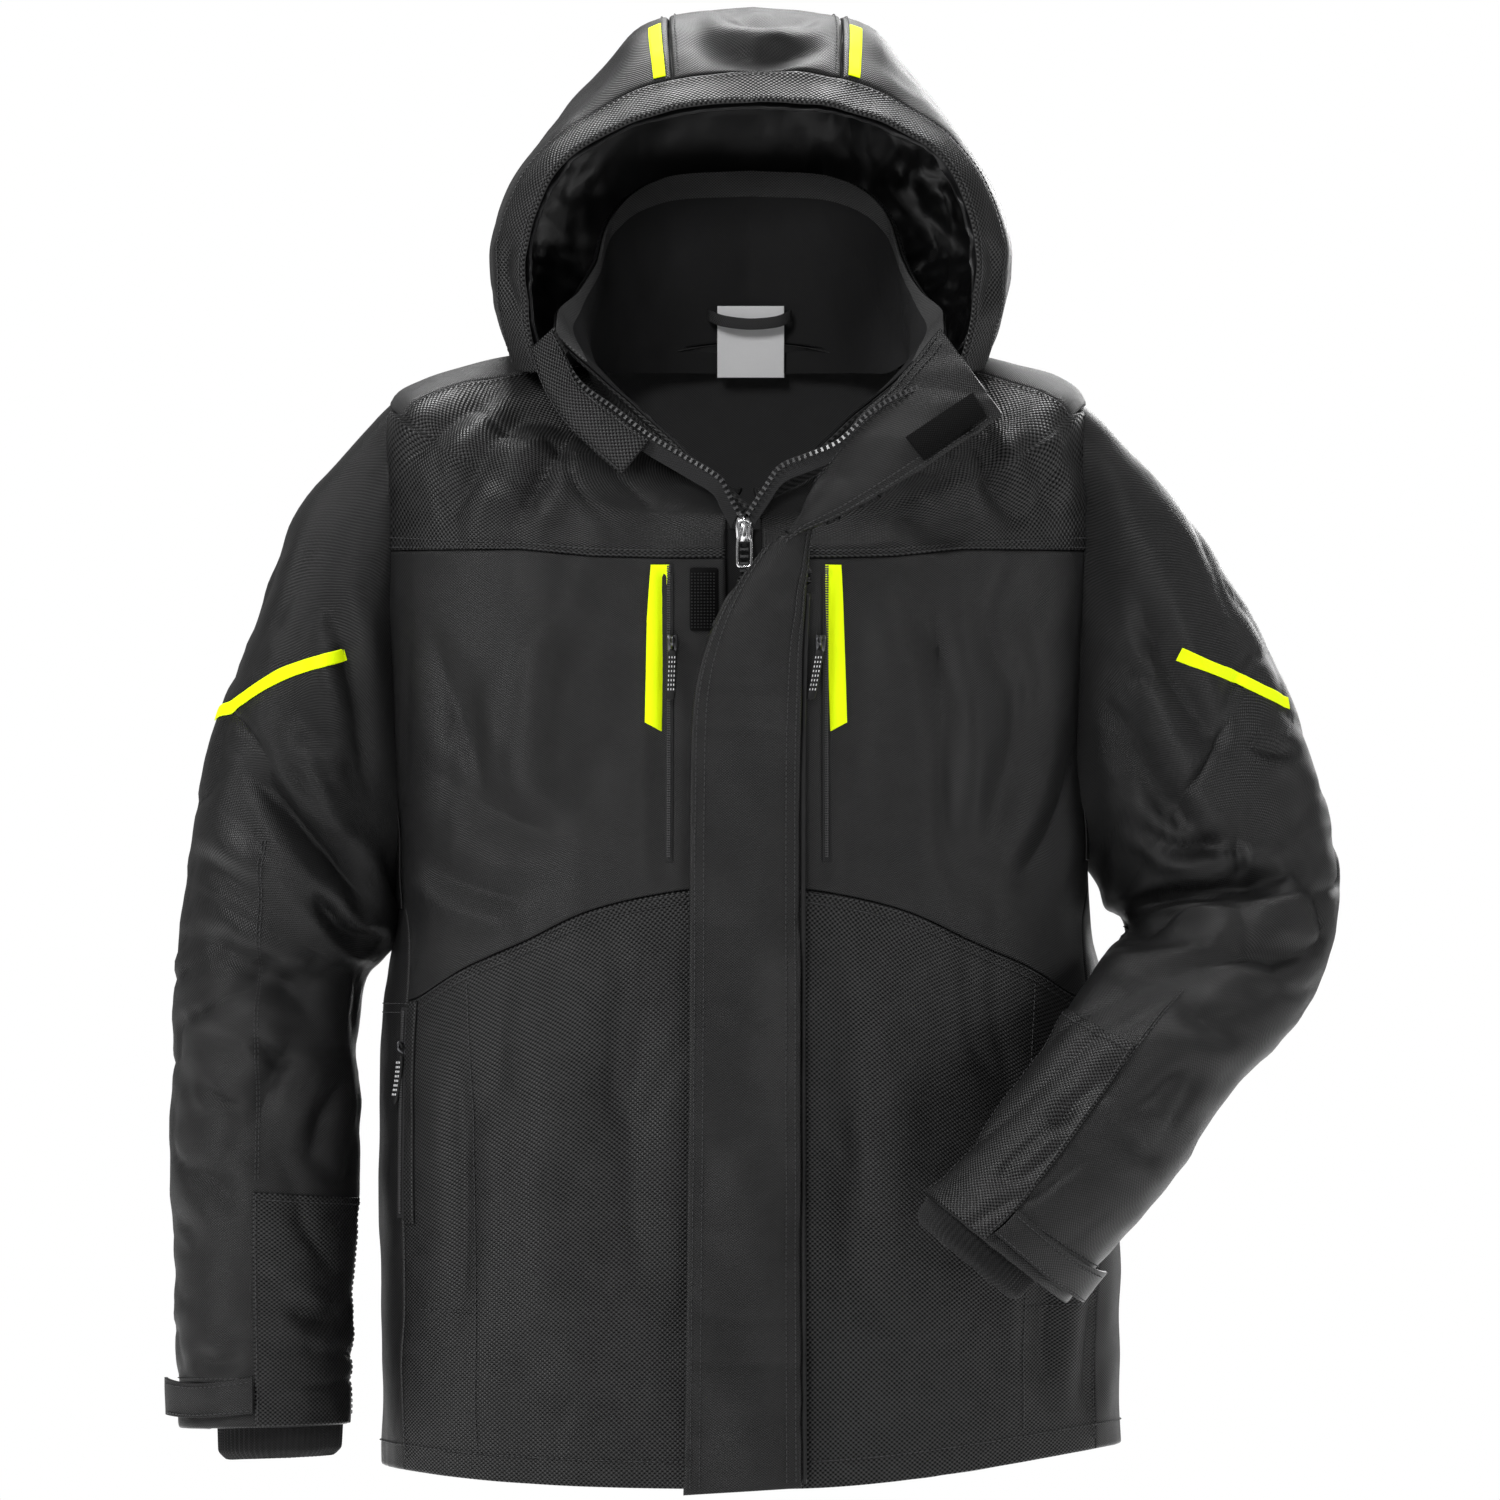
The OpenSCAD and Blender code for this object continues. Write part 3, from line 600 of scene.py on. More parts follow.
# Painted glow: the label gives off a little light of its own, so it reads brighter in the shade inside the
# neck.
LABEL_SATIN_AND_GLOW.node_tree.nodes["Principled BSDF"].inputs["Emission Color"].default_value = (1, 1, 1, 1)
LABEL_SATIN_AND_GLOW.node_tree.nodes["Principled BSDF"].inputs["Emission Strength"].default_value = 0.04
# Painted glow: the yellow tape gives off a little light of its own, on top of its colour.
painted_glow = YELLOW_TAPE_AND_GLOW.node_tree.nodes["Principled BSDF"]
painted_glow.inputs["Emission Color"].default_value = (0.6, 0.8, 0.0, 1)
painted_glow.inputs["Emission Strength"].default_value = 0.13


# ---------------------------------------------------------------- the body's shape

# Height, half width, front depth, back depth, height in front, at the side and behind, boxiness.
BODY = [
    [12, 259, 133, 128, 3, 17, 14, 0.72],
    [140, 259, 134, 129, 137, 142, 140, 0.72],
    [340, 256, 135, 128, 340, 340, 340, 0.72],
    [400, 247, 135, 127, 400, 400, 400, 0.72],
    [440, 248, 135, 127, 440, 440, 440, 0.72],
    [500, 252, 135, 126, 500, 500, 500, 0.72],
    [655, 258, 135, 124, 655, 655, 655, 0.72],
    [690, 257.5, 134, 121, 664, 695, 692, 0.72],
    [725, 256, 132.5, 116.5, 672, 734, 724, 0.725],
    [760, 251, 130, 111, 680, 764, 752, 0.74],
    [800, 230, 127.5, 105, 685, 778, 773, 0.755],
    [855, 191, 124.5, 97, 691, 789, 792, 0.78],
    [905, 154, 121.5, 89, 696, 796, 804, 0.8],
    [955, 118, 118, 80, 700, 800, 815, 0.82],
]
HEM, YOKE, SHOULDER, NECK = 12, 655, 752, 955
LEFT_NARROWING = [[12, 1.0], [250, 0.995], [380, 0.975], [440, 0.955], [560, 0.92], [760, 0.925],
                  [855, 0.97], [955, 1.0]]


def body_place(angle, v):
    s, c = np.sin(np.radians(angle)), np.cos(np.radians(angle))
    e = lookup(BODY, 7, v)
    depth = np.where(c > 0, lookup(BODY, 2, v), lookup(BODY, 3, v))
    end = np.where(c > 0, lookup(BODY, 4, v), lookup(BODY, 6, v))
    x = lookup(BODY, 1, v) * np.sign(s) * np.abs(s) ** e
    x = np.where(x > 0, x * lookup(LEFT_NARROWING, 1, v), x)
    y = -depth * np.sign(c) * np.abs(c) ** e
    z = end * c * c + lookup(BODY, 5, v) * s * s
    z = z + 15 * ramp(x, 20, 255) * (1 - ramp(np.asarray(v, float), 12, 190))
    return np.stack([x, y, z], -1)


def body_centre(p, u, v):
    return np.stack([0 * p[..., 0], 0 * p[..., 0], p[..., 2] - 25 * (p[..., 2] > 690)], -1)


def yoke_height(x):
    """The seam under the front yoke, a little lower in the middle and wavy."""
    return np.interp(np.abs(x), [0, 60, 110, 160, 258], [650, 650, 652, 659, 657])


# ---------------------------------------------------------------- creases and seams on the body

YOKE_FOLDS = [
    Fold([(-95, 705), (-135, 722), (-200, 735)], 5, 13, "ridge"),
    Fold([(-120, 745), (-150, 700), (-165, 668)], 4.5, 10, "valley"),
    Fold([(-150, 762), (-190, 715), (-215, 668)], 4.5, 11, "valley"),
    Fold([(-165, 775), (-225, 735), (-250, 700)], 3.5, 10, "valley"),
    Fold([(150, 745), (172, 700), (190, 670)], 6, 13, "valley"),
    Fold([(95, 690), (120, 672), (150, 660)], 4, 11, "valley"),
    Fold([(205, 750), (214, 715), (228, 680)], 3.5, 9, "ridge"),
]
CHEST_FOLDS = [
    Fold([(-150, 640), (-158, 540), (-140, 450)], 3.0, 20, "ridge"),
    Fold([(-225, 620), (-205, 540), (-175, 470)], 3.0, 15, "valley"),
    Fold([(-235, 520), (-190, 480), (-120, 452)], 3.0, 14, "valley"),
    Fold([(-240, 450), (-200, 425), (-150, 410)], 3.5, 12, "valley"),
    Fold([(95, 640), (100, 560), (90, 470)], 2.5, 14, "ridge"),
    Fold([(130, 640), (136, 540), (140, 430)], 3.5, 12, "valley"),
    Fold([(190, 600), (185, 520), (160, 440)], 3.0, 16, "valley"),
    Fold([(230, 540), (215, 470), (180, 410)], 4.0, 14, "valley"),
]
LOWER_FOLDS = [
    Fold([(-130, 350), (-150, 220), (-140, 90)], 2.5, 24, "ridge"),
    Fold([(-70, 380), (-85, 250), (-75, 120)], 2.2, 20, "valley"),
    Fold([(-205, 330), (-200, 200), (-205, 90)], 2.5, 12, "valley"),
    Fold([(60, 390), (75, 250), (60, 100)], 2.4, 20, "valley"),
    Fold([(215, 190), (205, 110), (215, 50)], 3, 14, "valley"),
    Fold([(240, 160), (236, 90), (240, 40)], 3, 9, "valley"),
]
BACK_FOLDS = [
    Fold([(-180, 640), (-120, 560), (-60, 520)], 4, 16, "valley", front=False),
    Fold([(190, 640), (130, 570), (50, 540)], 4, 16, "valley", front=False),
    Fold([(-220, 470), (-120, 430), (20, 445)], 4.5, 16, "valley", front=False),
    Fold([(220, 440), (110, 400), (-10, 410)], 4.5, 18, "valley", front=False),
    Fold([(-200, 320), (-60, 290), (60, 310)], 3.5, 18, "valley", front=False),
    Fold([(-140, 250), (-130, 140), (-150, 40)], 3.5, 20, "ridge", front=False),
    Fold([(40, 260), (60, 150), (50, 30)], 3.5, 20, "valley", front=False),
    Fold([(170, 280), (180, 160), (165, 40)], 3.5, 18, "ridge", front=False),
]


def soft_body(p, n):
    """Broad unevenness of padded cloth, and pucker near the yoke seam, the hem and the zip."""
    broad = 2.8 * lumps(p, 75, 3) + 1.5 * lumps(p, 31, 4)
    seam = np.abs(p[..., 2] - yoke_height(p[..., 0]))
    front = (n[..., 1] < 0) & (p[..., 2] < 700)
    pucker = 0.9 * lumps(p * [1, 1, 0.35], 8.5, 5)
    near = np.where(front, np.exp(-seam / 9), 0) + np.exp(-(p[..., 2] - HEM) / 16)
    near = near + np.where(front, np.exp(-np.abs(np.abs(p[..., 0] + 3) - 52) / 9), 0) * 0.7
    return broad + pucker * np.clip(near, 0, 1)


BODY_CREASES = [
    Creases(-62, 110, 30, 4, (-160, 710), (90, 55), 61, True),
    Creases(60, 110, 30, 4.5, (150, 700), (90, 60), 63, True),
    Creases(85, 170, 34, 3, (-150, 560), (90, 110), 65, True),
    Creases(88, 170, 34, 3, (140, 540), (90, 120), 67, True),
    Creases(80, 160, 40, 2.5, (-130, 230), (110, 170), 69, True),
    Creases(95, 160, 40, 2.5, (120, 240), (110, 170), 71, True),
    Creases(10, 160, 40, 5, (0, 440), (230, 120), 73, False),
    Creases(80, 200, 50, 4, (0, 180), (240, 170), 75, False),
    Creases(30, 120, 40, 3, (0, 700), (230, 80), 77, False)]
ZIP_GROOVES = [Fold([(-60, 644), (-60.5, 560), (-61, 424)], 2.6, 3.2, "seam", fade=0.02),
               Fold([(55, 644), (54.6, 560), (54.6, 424)], 2.6, 3.2, "seam", fade=0.02)]
BODY_RELIEFS = YOKE_FOLDS + CHEST_FOLDS + LOWER_FOLDS + BACK_FOLDS + BODY_CREASES + ZIP_GROOVES + [soft_body]
body = Surface(body_place, (0.4, 2.0), body_centre, BODY_RELIEFS)
bare_body = Surface(body_place, (0.4, 2.0), body_centre)

SIDE_ANGLE = 66.0
PLACKET = {RIGHT: 1.3, LEFT: 0.5}


def edge_angle(v):
    """Where the front panels meet the side panel, and higher up the sleeve."""
    return lookup([[12, 66], [343, 66], [400, 74], [437, 84], [760, 84]], 1, v)


def shoulder_angle(v):
    return np.where(v < 748, edge_angle(v), 84 - 14 * ramp(v, 748, 756))


def waist(angle):
    """The seam between chest and lower panel, which rises from the side to the middle."""
    return lookup([[0, 424], [8, 418], [20, 405], [32, 385], [44, 369], [66, 343],
    [84, 343]], 1, np.abs(angle))


def front_shape(side, low, high):
    """Maps the unit square to a front panel: u from the placket outwards, v from low to high."""

    def shape(u, v):
        guess = low(0 * u + 33) * (1 - v) + high(0 * u + 33) * v
        for _ in range(3):
            edge = edge_angle(guess)
            angle = PLACKET[side] + (edge - PLACKET[side]) * u - (edge - shoulder_angle(guess)) * u**4
            guess = low(angle) * (1 - v) + high(angle) * v
        return side * angle, guess

    return shape


def yoke_line(angle):
    x = 258 * np.sin(np.radians(angle)) ** 0.72
    return yoke_height(x)


def flat_height(z):
    return lambda angle: z + 0 * angle


GAP = 0.2


def raised(line, by):
    return lambda angle: line(angle) + by


def panel(name, side, low, high, height, material=SHELL):
    us, vs = spread(0, 1, 250, 4.2), spread(0, 1, height, 4.2)
    made = cloth(name + "_cloth", body, us, vs, material, thick=3.4, roll=1.5,
                 shape=front_shape(side, low, high))
    on_torso(made, name)


for word, side in SIDES.items():
    panel("front_yoke_" + word, side, raised(yoke_line, GAP), flat_height(NECK), material=COARSE,
          height=300)
    panel("chest_panel_" + word, side, raised(waist, GAP), raised(yoke_line, -GAP), height=280)
    panel("lower_panel_" + word, side, flat_height(HEM), raised(waist, -GAP), material=COARSE,
          height=370)
    us, vs = spread(0, 1, 150, 4.5), spread(0, 1, 730, 5)

    def side_shape(u, v, side=side):
        high = HEM + (745 - HEM) * v
        return side * (edge_angle(high) * (1 - u) + (180 - edge_angle(high)) * u), high

    piece = cloth(f"side_panel_{word}_cloth", body, us, vs, SHELL, thick=3.4, roll=1.5, shape=side_shape)
    on_torso(piece, "side_panel_" + word)


def back_shape(low, high):
    def shape(u, v):
        height = low + (high - low) * v
        edge = np.where(height < 752, 180 - edge_angle(height), 96 + 14 * ramp(height, 748, 760))
        return edge + (360 - 2 * edge) * u, height

    return shape


piece = cloth("back_panel_cloth", body, spread(0, 1, 560, 5), spread(0, 1, 640, 5), SHELL, thick=3.4,
              shape=back_shape(HEM, YOKE - GAP))
on_torso(piece, "back_panel")
piece = cloth("back_yoke_cloth", body, spread(0, 1, 560, 5), spread(0, 1, 240, 5), PAINTED_LIGHTER_SHELL, thick=3.4,
              shape=back_shape(YOKE + GAP, NECK))
on_torso(piece, "back_yoke")
for word, side in SIDES.items():
    piece = cloth(f"shoulder_strip_{word}", body, spread(side * 70, side * 110, 110, 4.5),
                  spread(SHOULDER, NECK, 150, 4.5), PAINTED_LIGHTER_SHELL, thick=3.4,
                  rolled=(True, False, True, True))
    on_torso(piece)


# ---------------------------------------------------------------- sleeves

# Station, outer x and z, inner x and z, middle y, half thickness. Station 0 is the armhole.
SLEEVE = {
    RIGHT: [
        [0, -258, 760, -244, 436, 0, 60], [1, -315, 690, -248, 415, 0, 76], [2, -353, 595, -244, 402, 0, 79],
        [3, -376, 528, -245, 386, 0, 78], [4, -392, 448, -268, 362, -1, 75],
        [5, -403, 350, -273, 335, -2, 70],
        [6, -406, 273, -274, 266, -6, 66], [7, -407, 203, -277, 195, -10, 62],
        [8, -404, 133, -280, 130, -14, 59],
        [9, -401, 75, -281, 76, -18, 55], [10, -400, 43, -282, 46, -20, 54],
        [11, -398, 11, -284, 16, -22, 53],
    ],
    LEFT: [
        [0, 236, 766, 232, 440, 0, 60], [1, 292, 702, 243, 424, 0, 74], [2, 341, 629, 248, 408, 0, 78],
        [3, 378, 560, 255, 402, -2, 76], [4, 402, 483, 260, 397, -8, 73], [5, 413, 420, 262, 392, -22, 69],
        [6, 392, 343, 256, 386, -66, 65], [7, 339, 283, 226, 343, -126, 61],
        [8, 287, 210, 177, 273, -170, 58],
        [9, 240, 156, 140, 223, -198, 55], [10, 220, 133, 122, 210, -206, 54],
        [11, 200, 110, 106, 190, -214, 53],
    ],
}
CUFF_END = 10


def sleeve_place(side):
    table = SLEEVE[side]

    def ring(angle, station):
        a = np.radians(angle)
        ox, oz, ix, iz = [lookup(table, k, station) for k in (1, 2, 3, 4)]
        wide, tall = (ox - ix) / 2, (oz - iz) / 2
        c, s = np.cos(a), np.sin(a)
        x, z = (ox + ix) / 2 + wide * c, (oz + iz) / 2 + tall * c
        return np.stack([x, lookup(table, 5, station) - lookup(table, 6, station) * s, z], -1)

    def armhole(angle):
        """A rounded oval on the body's own surface."""
        a = np.radians(angle)
        s, c = np.sin(a), np.cos(a)
        place = 90 - 14 * np.sign(s) * np.abs(s) ** 0.6
        height = 598 + 161 * np.sign(c) * np.abs(c) ** 0.8
        return body_place(side * place, height) - np.array([side * 3.0, 0, 0])

    def place(angle, station):
        station = np.asarray(station, float)
        w = smooth(station / 1.15)[..., None]
        return armhole(angle) * (1 - w) + ring(angle, station) * w

    return place


def sleeve_centre(side):
    table = SLEEVE[side]

    def centre(p, u, v):
        return np.stack([(lookup(table, 1, v) + lookup(table, 3, v)) / 2, lookup(table, 5, v),
                         (lookup(table, 2, v) + lookup(table, 4, v)) / 2], -1)

    return centre


SLEEVE_FOLDS = {
    RIGHT: [
        Fold([(-366, 516), (-330, 480), (-290, 440), (-252, 398)], 9, 12, "valley", fade=0.35),
        Fold([(-352, 545), (-310, 505), (-270, 460)], 5, 14, "ridge", fade=0.4),
        Fold([(-390, 470), (-340, 435), (-290, 400)], 5, 13, "ridge", fade=0.4),
        Fold([(-300, 640), (-275, 560), (-262, 470)], 5, 13, "valley", fade=0.35),
        Fold([(-398, 400), (-360, 372), (-318, 352), (-285, 348)], 5.5, 11, "valley", fade=0.4),
        Fold([(-392, 345), (-345, 325), (-300, 322)], 4, 12, "ridge", fade=0.4),
        Fold([(-315, 322), (-335, 285), (-352, 250)], 4.5, 11, "valley", fade=0.4),
        Fold([(-276, 300), (-296, 262), (-310, 225)], 5, 10, "valley", fade=0.4),
        Fold([(-395, 235), (-375, 215), (-352, 190)], 3, 12, "valley", fade=0.4),
        Fold([(-281, 130), (-300, 120), (-330, 128)], 4, 9, "valley", fade=0.4),
        Fold([(-308, 424), (-291, 399), (-273, 385), (-248, 386)], 8, 8, "valley", fade=0.3),
        Fold([(-388, 286), (-370, 274), (-353, 266)], 4, 5, "valley", fade=0.4),
        Fold([(-352, 324), (-335, 305), (-315, 297)], 4.5, 6, "valley", fade=0.4),
        Fold([(-324, 520), (-312, 492), (-296, 466)], 4, 7, "valley", fade=0.4),
        Fold([(-392, 100), (-372, 90), (-352, 96)], 3.5, 9, "valley", fade=0.4),
        Fold([(-380, 420), (-330, 400), (-290, 390)], 6, 14, "valley", front=False, fade=0.4),
        Fold([(-370, 330), (-330, 310), (-290, 318)], 5, 12, "valley", front=False, fade=0.4),
        Fold([(-360, 560), (-310, 500), (-280, 440)], 5, 14, "valley", front=False, fade=0.4),
    ],
    LEFT: [
        Fold([(262, 640), (300, 560), (345, 500)], 5, 13, "valley", fade=0.35),
        Fold([(250, 560), (290, 480), (350, 430)], 6, 14, "valley", fade=0.35),
        Fold([(400, 440), (350, 425), (300, 420), (262, 412)], 8, 11, "valley", fade=0.35),
        Fold([(405, 410), (350, 400), (290, 402)], 4, 13, "ridge", fade=0.4),
        Fold([(396, 372), (360, 375), (320, 385)], 5, 10, "valley", fade=0.4),
        Fold([(355, 310), (320, 330), (290, 350)], 3.5, 12, "valley", fade=0.4),
        Fold([(230, 272), (215, 262), (196, 262)], 3.5, 9, "valley", fade=0.4),
        Fold([(300, 235), (280, 240), (255, 262)], 3, 12, "valley", fade=0.4),
        Fold([(256, 580), (272, 571), (286, 566)], 5, 5, "valley", fade=0.4),
        Fold([(240, 556), (250, 545), (264, 534)], 5, 6, "valley", fade=0.4),
        Fold([(258, 474), (298, 450), (338, 456)], 6, 7, "valley", fade=0.35),
        Fold([(335, 458), (342, 441), (339, 426)], 5, 5, "valley", fade=0.35),
        Fold([(258, 402), (290, 413), (340, 417)], 7, 7, "valley", fade=0.35),
        Fold([(238, 376), (280, 371), (332, 379)], 5, 7, "ridge", fade=0.35),
        Fold([(340, 527), (365, 517), (390, 515)], 5, 6, "valley", fade=0.4),
        Fold([(380, 500), (340, 460), (290, 430)], 6, 14, "valley", front=False, fade=0.4),
        Fold([(380, 420), (340, 410), (290, 410)], 6, 12, "valley", front=False, fade=0.4),
    ],
}


def soft_sleeve(side):
    def relief(p, n):
        return 2.0 * lumps(p, 52, 11 + side) + 0.9 * lumps(p * [1, 1, 1.6], 22, 13 + side)

    return relief


SLEEVE_CREASES = {
    RIGHT: [Creases(-42, 120, 30, 6, (-318, 470), (75, 110), 41),
    Creases(20, 80, 24, 5, (-340, 330), (80, 70), 43),
            Creases(-35, 90, 26, 4, (-335, 210), (80, 80), 45),
            Creases(5, 60, 16, 3, (-340, 90), (90, 40), 47),
            Creases(60, 120, 34, 4, (-300, 640), (50, 90), 49)],
    LEFT: [Creases(50, 120, 30, 5, (310, 520), (80, 100), 51),
    Creases(8, 90, 22, 6, (350, 410), (90, 60), 53),
           Creases(40, 80, 24, 4, (270, 300), (80, 70), 55),
           Creases(-60, 120, 34, 4, (280, 660), (50, 80), 57),
           Creases(40, 60, 18, 3, (180, 220), (60, 50), 59)],
}


def held(side):
    """All of a sleeve's relief, dying away at the armhole where it is sewn on."""
    start = {RIGHT: 248, LEFT: 237}[side]
    parts = SLEEVE_FOLDS[side] + SLEEVE_CREASES[side] + [soft_sleeve(side)]

    def relief(p, n):
        fixed = (1 - ramp(side * p[..., 0], start, start + 20)) * ramp(p[..., 2], 392, 402)
        return sum(part(p, n) for part in parts) * (1 - fixed)

    return relief


sleeves = {side: Surface(sleeve_place(side), (1.0, 0.02), sleeve_centre(side),
                         [held(side)])
           for side in (RIGHT, LEFT)}
SPLIT = 2.62
RING = np.arange(0, 360, 3.2)


STATION_LENGTH = 68.0


def sleeve_rows(start, end):
    return spread(start, end, (end - start) * STATION_LENGTH, 4.5)


for word, side in SIDES.items():
    s = sleeves[side]
    upper = cloth(f"sleeve_{word}_upper", s, RING, sleeve_rows(0, SPLIT), SHELL,
                  thick=3.4, wrap=True, rolled=(True, True, True, False), roll=2.0)
    lower = cloth(f"sleeve_{word}_lower", s, RING, sleeve_rows(SPLIT - 0.01, CUFF_END), SHELL,
                  thick=3.4, wrap=True, rolled=(True, True, False, True), roll=2.0, lift=-0.05)
    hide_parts("sleeve_upper_" + word)
    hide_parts("sleeve_lower_" + word)
    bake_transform(upper)
    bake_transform(lower)
    gusset = cloth(f"underarm_gusset_{word}", body, side * spread(78, 102, 80, 4.5),
                   spread({RIGHT: 407, LEFT: 441}[side], 690, 270, 5), SHELL, thick=1.2, lift=1.6, roll=0.5)
    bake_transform(gusset)


# ---------------------------------------------------------------- hood

# Station from front to back, y, half width, top height, bottom height.
HOOD = [
    [0, -100, 157, 972, 780], [0.05, -93, 166, 979, 780], [0.12, -80, 177, 990, 781],
    [0.2, -60, 181, 1010, 782],
    [0.35, -20, 183, 1034, 785], [0.55, 40, 177, 1039, 790], [0.75, 96, 157, 1010, 799],
    [0.88, 126, 122, 954, 810],
    [0.96, 141, 82, 890, 818], [1, 150, 36, 838, 822],
]
# Share of the arch from its foot to its crown, half width, height.
ARCH = [[0, 0.88, 0], [0.15, 0.97, 0.17], [0.3, 1, 0.32], [0.45, 0.93, 0.5], [0.6, 0.77, 0.68],
        [0.75, 0.58, 0.84], [0.85, 0.44, 0.95], [0.93, 0.25, 0.99], [1, 0, 1]]
# The same along the hood's front edge, which is squarer.
FRONT_ARCH = [[0, 0.93, 0], [0.15, 0.99, 0.2], [0.3, 1, 0.42], [0.45, 0.955, 0.61], [0.6, 0.83, 0.79],
              [0.75, 0.59, 0.915], [0.85, 0.43, 0.955], [0.93, 0.25, 0.985], [1, 0, 1]]


def hood_place(u, t):
    q = 1 - np.abs(u)
    low, high = lookup(HOOD, 4, t), lookup(HOOD, 3, t)
    w = 1 - ramp(t, 0, 0.35)
    across = lookup(ARCH, 1, q) * (1 - w) + lookup(FRONT_ARCH, 1, q) * w
    up = lookup(ARCH, 2, q) * (1 - w) + lookup(FRONT_ARCH, 2, q) * w
    x = np.sign(u) * lookup(HOOD, 2, t) * across + 6 * up * up * (1 - t)
    return np.stack([x, lookup(HOOD, 1, t) + 0 * u, low + (high - low) * up], -1)


def hood_centre(p, u, v):
    return np.stack([0 * p[..., 0], 0 * p[..., 0] + 10, 0 * p[..., 0] + 850], -1)


HOOD_FOLDS = [
    Fold([(-40, 1028), (0, 1012), (35, 1016)], 5, 9, "ridge"),
    Fold([(-30, 1008), (10, 1002), (60, 1010)], 4, 8, "valley"),
    Fold([(-20, 1030), (20, 1026), (60, 1034)], 3, 8, "valley"),
    Fold([(-165, 880), (-172, 850), (-160, 820)], 4, 9, "valley"),
    Fold([(165, 880), (172, 850), (160, 820)], 4, 9, "valley"),
]


def soft_hood(p, n):
    return 1.6 * lumps(p, 48, 21) + 0.8 * lumps(p, 18, 22)


def crinkles(p, n):
    """The lining's loose creases, strongest on the wearer's left."""
    a = np.abs(lumps(p * [1, 1, 0.6], 26, 23)) + 0.5 * np.abs(lumps(p, 12, 24))
    return (a - 0.4) * (2.5 + 7 * ramp(p[..., 0], 20, 110) + 3 * ramp(-p[..., 0], 90, 140))


hood = Surface(hood_place, (0.004, 0.006), hood_centre, HOOD_FOLDS + [soft_hood])
hood_inside = Surface(hood_place, (0.004, 0.006), hood_centre, [crinkles])
PEAK_END = 0.13
CENTRE_HALF = 0.1


def hood_piece(name, us, ts, material, node, surface=hood, thick=2.6, lift=0.0, **options):
    made = cloth(name, surface, us, ts, material, thick=thick, lift=lift, **options)
    if node:
        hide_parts(node)
    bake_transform(made)
    return made


hood_piece("hood_peak_cloth", spread(-0.995, 0.995, 620, 4.2), spread(0, PEAK_END, 30, 3.5), COARSE,
           "hood_peak", lift=0.6)
hood_piece("hood_centre_cloth", spread(-CENTRE_HALF, CENTRE_HALF, 130, 4),
           spread(PEAK_END + 0.002, 1, 330, 4.2), SHELL, "hood_centre")
for word, side in SIDES.items():
    hood_piece(f"hood_side_{word}_cloth", side * spread(CENTRE_HALF + 0.002, 0.995, 240, 4.2),
               spread(PEAK_END + 0.002, 1, 330, 4.2), SHELL, "hood_side_" + word)
hood_piece("hood_lining_cloth", spread(-0.985, 0.985, 600, 4.4), spread(0.012, 0.985, 330, 4.4),
           HOOD_LINING, "hood_lining", surface=hood_inside, thick=1.2, lift=-9)
for word, side in SIDES.items():
    made = hood_piece(f"hood_stripe_{word}", side * spread(0.112, 0.134, 10, 2.2),
                      spread(0.14, 0.33, 60, 3), YELLOW_TAPE_AND_GLOW, None, thick=0.8, lift=1.5, roll=0.5)
    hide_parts("hood_stripes")


# ---------------------------------------------------------------- collar, label and loop

# Share from the back middle to the front end: base, then top edge.
COLLAR = [
    [0, 0, 80, 819, 0, 88, 926], [0.2, 62, 66, 818, 60, 76, 921], [0.4, 100, 28, 811, 96, 36, 897],
    [0.55, 114, -8, 801, 108, -6, 862], [0.7, 108, -62, 772, 122, -44, 838],
    [0.85, 70, -104, 733, 136, -80, 822],
    [1, 10, -133, 696, 136, -104, 806],
]


def collar_place(u, h):
    s = np.abs(u)
    base = np.stack([lookup(COLLAR, k, s) for k in (1, 2, 3)], -1)
    top = np.stack([lookup(COLLAR, k, s) for k in (4, 5, 6)], -1)
    p = base + (top - base) * np.asarray(h)[..., None]
    p[..., 0] *= -np.sign(u)
    return p


def collar_centre(p, u, v):
    return np.stack([0 * p[..., 0], 0 * p[..., 0] - 20, p[..., 2] * 0 + 840], -1)


def soft_collar(p, n):
    return 1.5 * lumps(p, 34, 31) + 0.6 * lumps(p, 14, 32)


collar = Surface(collar_place, (0.004, 0.02), collar_centre, [soft_collar])
piece = cloth("collar_shell_cloth", collar, spread(-1, 1, 620, 4), spread(-0.14, 1, 105, 3.6), COARSE,
              thick=2.6, lift=3.2)
on_torso(piece, "collar_shell")


def lining_shape(u, v):
    """The lining reaches further down at the back, behind the top of the neck facing."""
    foot = -0.34 + 0.2 * ramp(np.abs(u), 0.35, 0.6)
    return u, foot + (0.84 - foot) * v


piece = cloth("collar_lining_cloth", collar, spread(-0.995, 0.995, 620, 4.4), spread(0, 1, 105, 4.2),
              FACING, thick=2.0, lift=0.2, shape=lining_shape)
on_torso(piece, "collar_lining")
piece = cloth("collar_binding", collar, spread(-0.998, 0.998, 620, 4), spread(0.83, 1.0, 15, 2.4),
              BINDING, thick=3.4, lift=0.1, inner_lift=-2.6)
on_torso(piece)


class Lap:
    """A band between two lines of points, both from the wearer's right end to the left one."""

    def __init__(self, first, second, belly=0.0):
        self.first, self.second, self.belly = spline(first, 60), spline(second, 60), belly

    def __call__(self, u, v):
        t = np.clip(np.asarray(u, float), 0, 1) * 59
        a = np.stack([np.interp(t, np.arange(60), self.first[:, k]) for k in range(3)], -1)
        b = np.stack([np.interp(t, np.arange(60), self.second[:, k]) for k in range(3)], -1)
        v = np.asarray(v, float)[..., None]
        p = a + (b - a) * v
        p[..., 1] -= self.belly * np.sin(np.pi * np.clip(v[..., 0], 0, 1))
        return p


